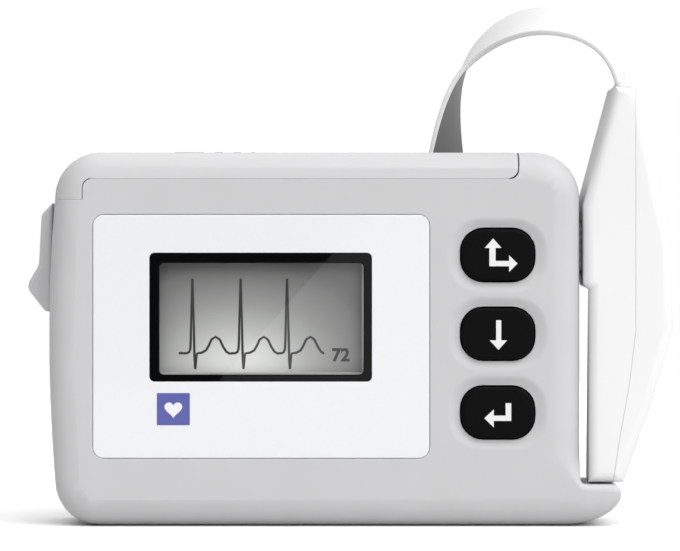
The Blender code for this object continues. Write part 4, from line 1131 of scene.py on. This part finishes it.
# %% [markdown]
# ## Copies on points
# Screws, sockets, contacts and ribs are one shape at many places. The tree puts a copy on each point
# of a bare mesh, turned by the vector that the point carries, and makes the copies real. A point can
# also carry a colour, which stays on its copy for the material to read.

# %% Copies on points
def copies_tree():
    """A copy of a part on each point, turned as the point says."""
    tree, given, out = new_tree("Copies on points", Part="Object")
    part = node_in(tree, "GeometryNodeObjectInfo", {"Object": (given, "Part")},
                   transform_space="ORIGINAL")
    turn = node_in(tree, "FunctionNodeEulerToRotation", {"Euler": named_vector(tree, "turn")})
    each = node_in(tree, "GeometryNodeInstanceOnPoints",
                   {"Points": given, "Instance": (part, "Geometry"), "Rotation": turn})
    return ended(tree, given, out, each)


copies = copies_tree()


def copied(name, part_mesh, places, finish, turns=None, tints=None):
    """One mesh with a copy of a part on each place in mm."""
    vectors = {"turn": turns or [(0.0, 0.0, 0.0)] * len(places)}
    if tints:
        vectors["tint"] = tints
    part = link_object(name + "_part", part_mesh)
    mesh = grown(name, copies, places_mesh(name, places, vectors), {"Part": part, "Finish": finish})
    bpy.data.objects.remove(part)
    return mesh


# %% [markdown]
# ## Screws
# Four self-tapping screws sit deep in the back, with a cross for the driver. The head is a flat ring
# outline with a cross-shaped hole and a floor behind it, and the shank is turned with its thread as
# a row of ridges. One screw is made, then copied to the four places.

# %% Screws
thread_pitch = 0.75
thread_ridges = 17


def cross(size, arm):
    """A plus-shaped outline."""
    a, b = arm / 2, size / 2
    return [(-a, -b), (a, -b), (a, -a), (b, -a), (b, a), (a, a), (a, b), (-a, b), (-a, a), (-b, a),
            (-b, -a), (-a, -a)]


screw_nodes = [f"housing_screw_{i}" for i in range(1, 5)]
low, high, middle = box_mm(screw_nodes[0])
head_radius = (high.x - low.x) / 2
head_face = flat_mesh("head_face", [ring_outline(head_radius - 0.12), cross(1.9, 0.5)], 0.0, 0.62, 0.12)
head_floor = flat_mesh("head_floor", [ring_outline(head_radius - 0.2)], 0.5, 0.6, 0.1)
thread = [(-15.6, 0.25), (-15.2, 0.75)]
for step in range(thread_ridges):
    along = step * thread_pitch
    thread += [(-15.0 + along, 0.82), (-14.7 + along, 1.18), (-14.5 + along, 0.82)]
thread += [(-1.6, 0.85), (-0.9, 1.0)]
screw_mesh = joined("screw", [head_face, head_floor, moved(turned("shank", thread, 24), degrees=90)])
screw_places = []
for node in screw_nodes:
    low, high, middle = box_mm(node)
    screw_places.append((middle.x, high.y, middle.z))
# The head faces back, so each screw is turned half a turn about Z, then a little about its own axis
turns = [(0.0, angle, math.pi) for angle in (0.3, 1.1, 0.7, 0.1)]
finished("housing_screws", copied("screws", screw_mesh, screw_places, plain_steel, turns), "recorder",
         None, screw_nodes)

# %% [markdown]
# ## Patient sockets
# Ten sockets take the patient leads. Each is a dark insulating cup with a gold pin deep inside, and a
# coloured ring round its mouth that tells one lead from the next. The colours are a plain series.
# The ring and the cup share one mesh: the colour comes from the point's tint, and a mask keeps it on
# the ring.

# %% Patient sockets
socket_tints = [
    (0.55, 0.03, 0.03), (0.65, 0.5, 0.03), (0.03, 0.3, 0.08), (0.012, 0.012, 0.014),
    (0.45, 0.45, 0.46), (0.55, 0.2, 0.02), (0.03, 0.1, 0.42), (0.2, 0.05, 0.3),
    (0.17, 0.08, 0.03), (0.5, 0.15, 0.22),
]
# The way out of the wall, x and z, for each pair of sockets from the bottom up
socket_slopes = [(0.942, -0.334), (0.961, -0.275), (1.0, 0.021), (0.978, 0.208), (0.978, 0.208)]
socket_sunk = 0.28
socket_length = 4.0
ring_bottom = -0.2
ring_inside = 1.45
cup = [
    (-4.0, 1.4), (-4.0, 2.0), (-3.8, 2.12), (-0.5, 2.12), (-0.14, 2.12), (-0.03, 2.04), (0.0, 1.9),
    (0.0, 1.52), (-0.12, 1.38), (-0.22, 1.32), (-0.24, 1.14), (-0.34, 1.0), (-3.3, 0.96),
]
pin = [(-3.4, 0.1), (-3.4, 0.42), (-1.5, 0.42), (-1.15, 0.3), (-1.05, 0.1)]


def socket_finish():
    """A dark cup with the point's tint on its ring."""
    material, shader = new_finish("socket_paint", (0.03, 0.03, 0.03), 0.45)
    tree = material.node_tree
    tint = (node_in(tree, "Attribute", attribute_name="tint"), "Color")
    mouth = (node_in(tree, "Attribute", attribute_name="ring"), "Fac")
    marks = node_in(tree, "Group", node_tree=grain)
    feed(shader, {"Base Color": mixed(tree, mouth, (0.02, 0.02, 0.022), tint),
                  "Roughness": ranged(tree, (marks, "Patches"), end=(0.35, 0.55)),
                  "Normal": bumped(tree, (marks, "Height"), 0.3, 0.02)})
    return material


cup_mesh = turned("cup", cup, 32)
ring_mask = cup_mesh.attributes.new("ring", "FLOAT", "POINT")
for vertex, value in zip(cup_mesh.vertices, ring_mask.data):
    far = math.hypot(vertex.co.x, vertex.co.y)
    value.value = 1.0 if vertex.co.z > ring_bottom * MM and far > ring_inside * MM else 0.0
socket_nodes = [f"lead_socket_{i:02d}" for i in range(1, 11)]
socket_places = []
socket_turns = []
for i, node in enumerate(socket_nodes):
    out_x, out_z = socket_slopes[i // 2]
    mouth = Vector((out_x, 0, out_z)) * (socket_length / 2 - socket_sunk)
    socket_places.append(box_mm(node)[2] + mouth)
    socket_turns.append((0.0, math.atan2(out_x, out_z), 0.0))
finished("patient_sockets", copied("sockets", cup_mesh, socket_places, socket_finish(), socket_turns,
                                   socket_tints), "lead_block", None, socket_nodes)
finished("socket_pins", copied("pins", turned("pin", pin, 16), socket_places, contact_gold,
                               socket_turns), "lead_block")

# %% [markdown]
# ## Springs
# A coil is a spiral with a round wire swept along it. The same tree makes the straight spring under
# the latch and the cone-shaped contact at the cell's flat end, with other radii and another turn.
# The latch spring shortens when the latch slides down, and its object keeps a mesh of its own.


def coil_tree():
    """A spiral with a round wire swept along it, turned and put in its place."""
    tree, given, out = new_tree(
        "Wire coil", Start_Radius="Float", End_Radius="Float", Height="Float", Rounds="Float",
        Wire="Float", Place="Vector", Turn="Vector")
    spiral = node_in(tree, "GeometryNodeCurveSpiral", {
        "Resolution": 28, "Rotations": (given, "Rounds"),
        **{key: (given, key) for key in ("Start Radius", "End Radius", "Height")}})
    circle = node_in(tree, "GeometryNodeCurvePrimitiveCircle",
                     {"Resolution": 10, "Radius": (given, "Wire")})
    put = node_in(tree, "GeometryNodeTransform", {
        "Geometry": swept(tree, spiral, circle), "Translation": (given, "Place"),
        "Rotation": (given, "Turn")})
    return ended(tree, given, out, put)


coil = coil_tree()
spring_steel = metal("spring_steel", (0.6, 0.6, 0.6), 0.24)


def coiled(name, radii, wire, rounds, height, place, turn=(0.0, 0.0, 0.0)):
    """A coil of wire, with its lengths in mm."""
    return grown(name, coil, places_mesh(name, [(0, 0, 0)], {}), {
        "Start Radius": radii[0] * MM, "End Radius": radii[1] * MM, "Wire": wire * MM,
        "Rounds": rounds, "Height": height * MM, "Place": [c * MM for c in place], "Turn": turn,
        "Finish": spring_steel})


low, high, middle = box_mm("latch_spring")
wire = 0.17
radius = (high.x - low.x) / 2 - wire
spring_length = high.z - low.z
spring = coiled("spring", (radius, radius), wire, 5.5, spring_length - 2 * wire,
                (middle.x, middle.y, low.z + wire))
spring_piece = finished("latch_return_spring", spring, "recorder", None, ["latch_spring"])
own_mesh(spring_piece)
low, high, middle = box_mm("coil_contact")
wire = 0.24
radius = (high.z - low.z) / 2 - wire
cell_coil = coiled("cell_coil", (radius, radius * 0.5), wire, 3.5, high.x - low.x - 2 * wire,
                   (low.x + wire, middle.y, middle.z), (0.0, math.radians(90), 0.0))
finished("cell_coil", cell_coil, "recorder", None, ["coil_contact"])

# %% [markdown]
# ## The cell
# One AA cell powers the recorder. It is turned as one profile: the flat end's rim, the sleeve's soft
# shoulders and the nub. Its printed sleeve is a plain dark foil with a light band at the nub's end,
# and the two ends are bare steel. Object coordinates along the cell decide which is which.

# %% Cell
low, high, middle = box_mm("aa_cell")
cell_radius = (high.z - low.z) / 2
length = high.x - low.x
cell_mesh = turned("cell", [
    (0.0, 3.2), (0.0, 5.6), (0.05, 6.6), (0.25, 6.75), (0.3, cell_radius - 0.25),
    (0.6, cell_radius), (length - 2.0, cell_radius), (length - 1.7, cell_radius - 0.2),
    (length - 1.6, 6.7), (length - 1.6, 3.0), (length - 1.5, 2.75), (length - 0.25, 2.7),
    (length, 2.4)], 64)
band_places = (0.0, 0.008, 0.72, 0.735, 0.745, 0.965)
band_greys = (0.55, 0.02, 0.5, 0.05, 0.36, 0.55)
band_metals = (1.0, 0.35, 0.9, 0.35, 0.85, 1.0)
foil_tint = (0.96, 1.0, 1.06)


def sleeve(start, end):
    """A printed foil with bare ends, laid out along the cell."""
    material, shader = new_finish("cell_sleeve", (0.1, 0.1, 0.1), 0.25, Coat_Weight=0.4)
    tree = material.node_tree
    place = on_object(tree)
    across = (node_in(tree, "SeparateXYZ", {"Vector": place}), "X")
    along = ranged(tree, across, (start, end))
    bands, metals = [ramp_in(tree, along, list(zip(band_places, greys)), foil_tint, "CONSTANT")
                     for greys in (band_greys, band_metals)]
    scuffs = noise(tree, place, 700.0, 5.0)
    feed(shader, {"Base Color": bands, "Metallic": metals,
                  "Roughness": ranged(tree, scuffs, end=(0.18, 0.42))})
    return material


finished("power_cell", moved(cell_mesh, (low.x, middle.y, middle.z), 90, "Y"), "recorder",
         sleeve(low.x * MM, high.x * MM), ["aa_cell"])

# %% [markdown]
# ## Circuit boards
# A board is glass laminate under green solder mask. Copper tracks lie under the mask as slightly
# lighter and higher lines, and bare gold dots are left open for solder. Both patterns are
# procedural: a brick pattern gives the tracks and a Voronoi pattern the dots. Small parts stand on
# the board in rows, and the processor has bent legs on its four sides.

# %% Boards
def small_block(name, size, edge=0.05):
    """A block with rounded edges, its middle at the origin, in mm."""
    work = bmesh.new()
    bmesh.ops.create_cube(work, size=1.0)
    for vertex in work.verts:
        vertex.co = Vector([c * s * MM for c, s in zip(vertex.co, size)])
    bmesh.ops.bevel(work, geom=work.edges[:], offset=edge * MM, segments=2, affect="EDGES")
    return smoothed(work, name, 50.0)


def laminate():
    """Green mask over tracks, with dots of bare gold."""
    material, shader = new_finish("board_green", (0.02, 0.12, 0.05), 0.35, Coat_Weight=0.3)
    tree = material.node_tree
    place = on_object(tree)
    level = node_in(tree, "Mapping", {"Vector": place, "Rotation": (math.radians(90), 0, 0)})
    tracks = node_in(tree, "TexBrick", {
        "Vector": level, "Color1": (0, 0, 0), "Color2": (0.25, 0.25, 0.25), "Mortar": (1, 1, 1),
        "Scale": 1.0, "Mortar Size": 0.12 * MM, "Brick Width": 3.4 * MM, "Row Height": 0.8 * MM})
    dots = node_in(tree, "TexVoronoi", {"Vector": place, "Scale": 420.0, "Randomness": 0.75})
    pads = calc(tree, "LESS_THAN", (dots, "Distance"), 0.16)
    mask = mixed(tree, (tracks, "Color"), (0.012, 0.095, 0.035), (0.035, 0.2, 0.08))
    feed(shader, {"Base Color": mixed(tree, pads, mask, (0.75, 0.56, 0.24)), "Metallic": pads,
                  "Normal": bumped(tree, (tracks, "Fac"), 0.5, 0.03)})
    return material


board_green = laminate()
solder = metal("solder", (0.62, 0.62, 0.6), 0.3)
ceramic = moulded("ceramic", (0.3, 0.24, 0.17), 0.5, dusty=0.0)
board_back = box_mm("main_board")[1].y
# Middles and half sizes of the places that larger parts take, x and z
taken_places = ((-9.3, 16.5, 8.4, 8.2), (8.7, 16.5, 7.0, 5.4), (-28.2, 16.5, 6.4, 6.4))
chip_rows = 5
chip_columns = 13
first_chip = (-29.0, 8.0)
chip_pitch = (4.7, 6.6)
row_shift = 1.6
chip_spots = []
for row in range(chip_rows):
    for column in range(chip_columns):
        x = first_chip[0] + column * chip_pitch[0] + (row % 2) * row_shift
        z = first_chip[1] + row * chip_pitch[1]
        if not any(abs(x - cx) < rx and abs(z - cz) < rz for cx, cz, rx, rz in taken_places):
            chip_spots.append((x, board_back + 0.28, z))
small_parts = copied("small_parts", small_block("body", (1.2, 0.5, 0.8)), chip_spots, ceramic)
finished("small_parts", small_parts, "recorder")
ends = joined("ends", [moved(small_block("end", (0.32, 0.54, 0.84)), (x, 0, 0)) for x in (-0.75, 0.75)])
finished("solder_ends", copied("solder_ends", ends, chip_spots, solder), "recorder")

leg_count = 12
leg_pitch = 0.9
leg = flat_mesh("leg", [[(-0.1, 0.62), (0.42, 0.62), (0.62, 0.1), (1.15, 0.1), (1.15, 0.24),
                         (0.72, 0.24), (0.52, 0.76), (-0.1, 0.76)]], -0.17, 0.34)
low, high, middle = box_mm("processor_chip")
leg_places = []
leg_turns = []
for side in range(4):
    angle = side * math.pi / 2
    out = Vector((math.cos(angle), 0, -math.sin(angle))) * (high.x - low.x) / 2
    beside = Vector((math.sin(angle), 0, math.cos(angle)))
    for i in range(leg_count):
        foot = out + beside * (i - (leg_count - 1) / 2) * leg_pitch
        leg_places.append(Vector((middle.x, board_back, middle.z)) + foot)
        leg_turns.append((math.radians(-90), angle, 0.0))
finished("processor_legs", copied("processor_legs", leg, leg_places, solder, leg_turns), "recorder")

# %% [markdown]
# ## Parts inside
# The parts inside show when the door is open, when the block is undocked or in a service view. Most
# CAD nodes there have the right shape, so they only get a finish or a smooth skin.

# %% Finishes on the CAD's own nodes
dock_grey = moulded("dock_grey", (0.42, 0.42, 0.43), 0.45, dusty=0.0)
chip_black = moulded("chip_black", (0.018, 0.018, 0.019), 0.42, grains=8.0, depth=0.01, dusty=0.0)
finishes = {
    "tact_switch_1": chip_black, "tact_switch_2": chip_black, "tact_switch_3": chip_black,
    "main_board": board_green, "block_board": board_green, "processor_chip": chip_black,
    "memory_chip": chip_black, "plate_contact": plain_steel, "card_socket": plain_steel,
    "dock_socket": dock_grey, "dock_plug": dock_grey, "input_socket": dark_plastic,
}
for node, material in finishes.items():
    slots = nodes[node].data.materials
    if slots:
        for i in range(len(slots)):
            slots[i] = material
    else:
        slots.append(material)
print(f"{len(finishes)} nodes finished")
skin("cell_tray", "battery_tray", "recorder", tray_grey)
skin("hinge_rod", "hinge_pin", "recorder", plain_steel)
skin("lead_plug", "ribbon_plug", "recorder", block_white)

# %% [markdown]
# ## Finer parts inside
# The round sounder is turned from one profile, and the memory card's outline gets its two cut corners
# and its notch. Steel contacts go on the front and back of the dock plug, and gold springs in its
# socket. They stand in even rows, so one small block is copied onto counted places.

# %% Sounder, card and contacts
low, high, middle = box_mm("sounder")
can = turned("sounder", [
    (0.0, 4.0), (0.0, 4.3), (0.2, 4.4), (2.7, 4.4), (2.95, 4.25), (3.0, 4.0), (3.0, 1.3), (2.9, 1.15),
    (1.6, 1.1)], 48)
finished("sounder_can", moved(can, (middle.x, low.y, middle.z), -90), "recorder", chip_black,
         ["sounder"])
low, high, middle = box_mm("memory_card")
card = flat_mesh("card", [[
    (low.y, low.z), (high.y, low.z), (high.y, high.z - 0.6), (high.y - 0.6, high.z),
    (low.y + 0.6, high.z), (low.y, high.z - 0.6), (low.y, low.z + 8.2), (low.y + 1.1, low.z + 7.0),
    (low.y + 1.1, low.z + 0.8)]], -0.5, 1.0, 0.1)
finished("data_card", joined("data_card", [moved(card, (middle.x, 0, 0), 90, "Z")]), "recorder",
         chip_black, ["memory_card"])
contact_count = 5
strip_x = 44.9
strip_size = (4.6, 0.16, 0.8)
strip_pitch = 1.52
spring_x = 41.98
spring_size = (0.3, 0.7, 6.4)
spring_pitch = 1.9
low, high, middle = box_mm("dock_plug")
strips = [(strip_x, y, low.z + 1.05 + i * strip_pitch)
          for y in (low.y, high.y) for i in range(contact_count)]
finished("dock_contacts", copied("dock_contacts", small_block("strip", strip_size, 0.04), strips,
                                 plain_steel), "lead_block")
springs = [(spring_x, (i - contact_count // 2) * spring_pitch, box_mm("dock_socket")[2].z)
           for i in range(contact_count)]
finished("dock_springs", copied("dock_springs", small_block("spring", spring_size, 0.08), springs,
                                contact_gold), "recorder")

# %% [markdown]
# ## Grips and the lead's collar
# The plug on the back is pulled by hand, so it has ribs for the fingers. A row of four soft bars goes
# on its back face by the same copying tree. A soft tapered collar holds the lead in the top of the
# block: rounded outlines at four heights, joined into one skin.

# %% Ribs and collar
rib_count = 4
rib_size = (10.5, 0.5, 0.55)
rib_pitch = 1.5
low, high, middle = box_mm("ribbon_plug")
ribs = [(middle.x, high.y + 0.02, low.z + 2.6 + i * rib_pitch) for i in range(rib_count)]
finished("plug_ribs", copied("plug_ribs", small_block("rib", rib_size, 0.2), ribs, block_white),
         "recorder")
collar_x = 52.9
# Heights, half widths in x, half depths in y and corners
collar = ((70.7, 1.4, 7.0, 0.6), (75.0, 1.4, 7.0, 0.6), (75.4, 1.15, 6.8, 0.6), (75.9, 0.8, 6.5, 0.5))
collar_rings = [[(x, y, height) for x, y in rounded(collar_x - half_x, collar_x + half_x, -half_y,
                                                    half_y, corner, 5)]
                for height, half_x, half_y, corner in collar]
finished("lead_collar", ring_skin("lead_collar", collar_rings, 50.0), "lead_block", block_white,
         ["ribbon_gland"])

# %% [markdown]
# ## Marks on the door
# The door's top carries four small raised bars of different lengths, moulded in a darker grey. Each
# is a block with soft edges, and they move with the door.

# %% Door marks
mark_grey = moulded("mark_grey", (0.3, 0.3, 0.31), 0.5, dusty=0.0)
door_top = box_mm("compartment_door")[1].z
bar_spans = ((-24.2, -19.1), (-17.4, -15.9), (-14.2, -12.8), (-11.1, -10.3))
bar_y = -3.5
bar_depth = 3.2
bar_height = 0.34
bars = [moved(small_block("bar", (right - left, bar_depth, bar_height), 0.1),
              ((left + right) / 2, bar_y, door_top)) for left, right in bar_spans]
finished("door_marks", joined("bars", bars), "door", mark_grey)

# %% [markdown]
# ## Floor
# A wide round floor catches the soft shadow. It is nearly white to the camera and a little darker to
# the light that it sends back, so the recorder's underside isn't washed out.

# %% Floor
floor_radius = 0.8
shape = bmesh.new()
bmesh.ops.create_circle(shape, cap_ends=True, segments=96, radius=floor_radius)
floor_mesh = bpy.data.meshes.new("floor")
shape.to_mesh(floor_mesh)
shape.free()
floor = link_object("floor", floor_mesh)
floor_paint, floor_shader = new_finish("floor_paint", (0.95, 0.95, 0.95), 0.9)
tree = floor_paint.node_tree
seen = (node_in(tree, "LightPath"), "Is Camera Ray")
feed(floor_shader, {"Base Color": mixed(tree, seen, (0.7, 0.7, 0.7), (0.95, 0.95, 0.95))})
floor_mesh.materials.append(floor_paint)
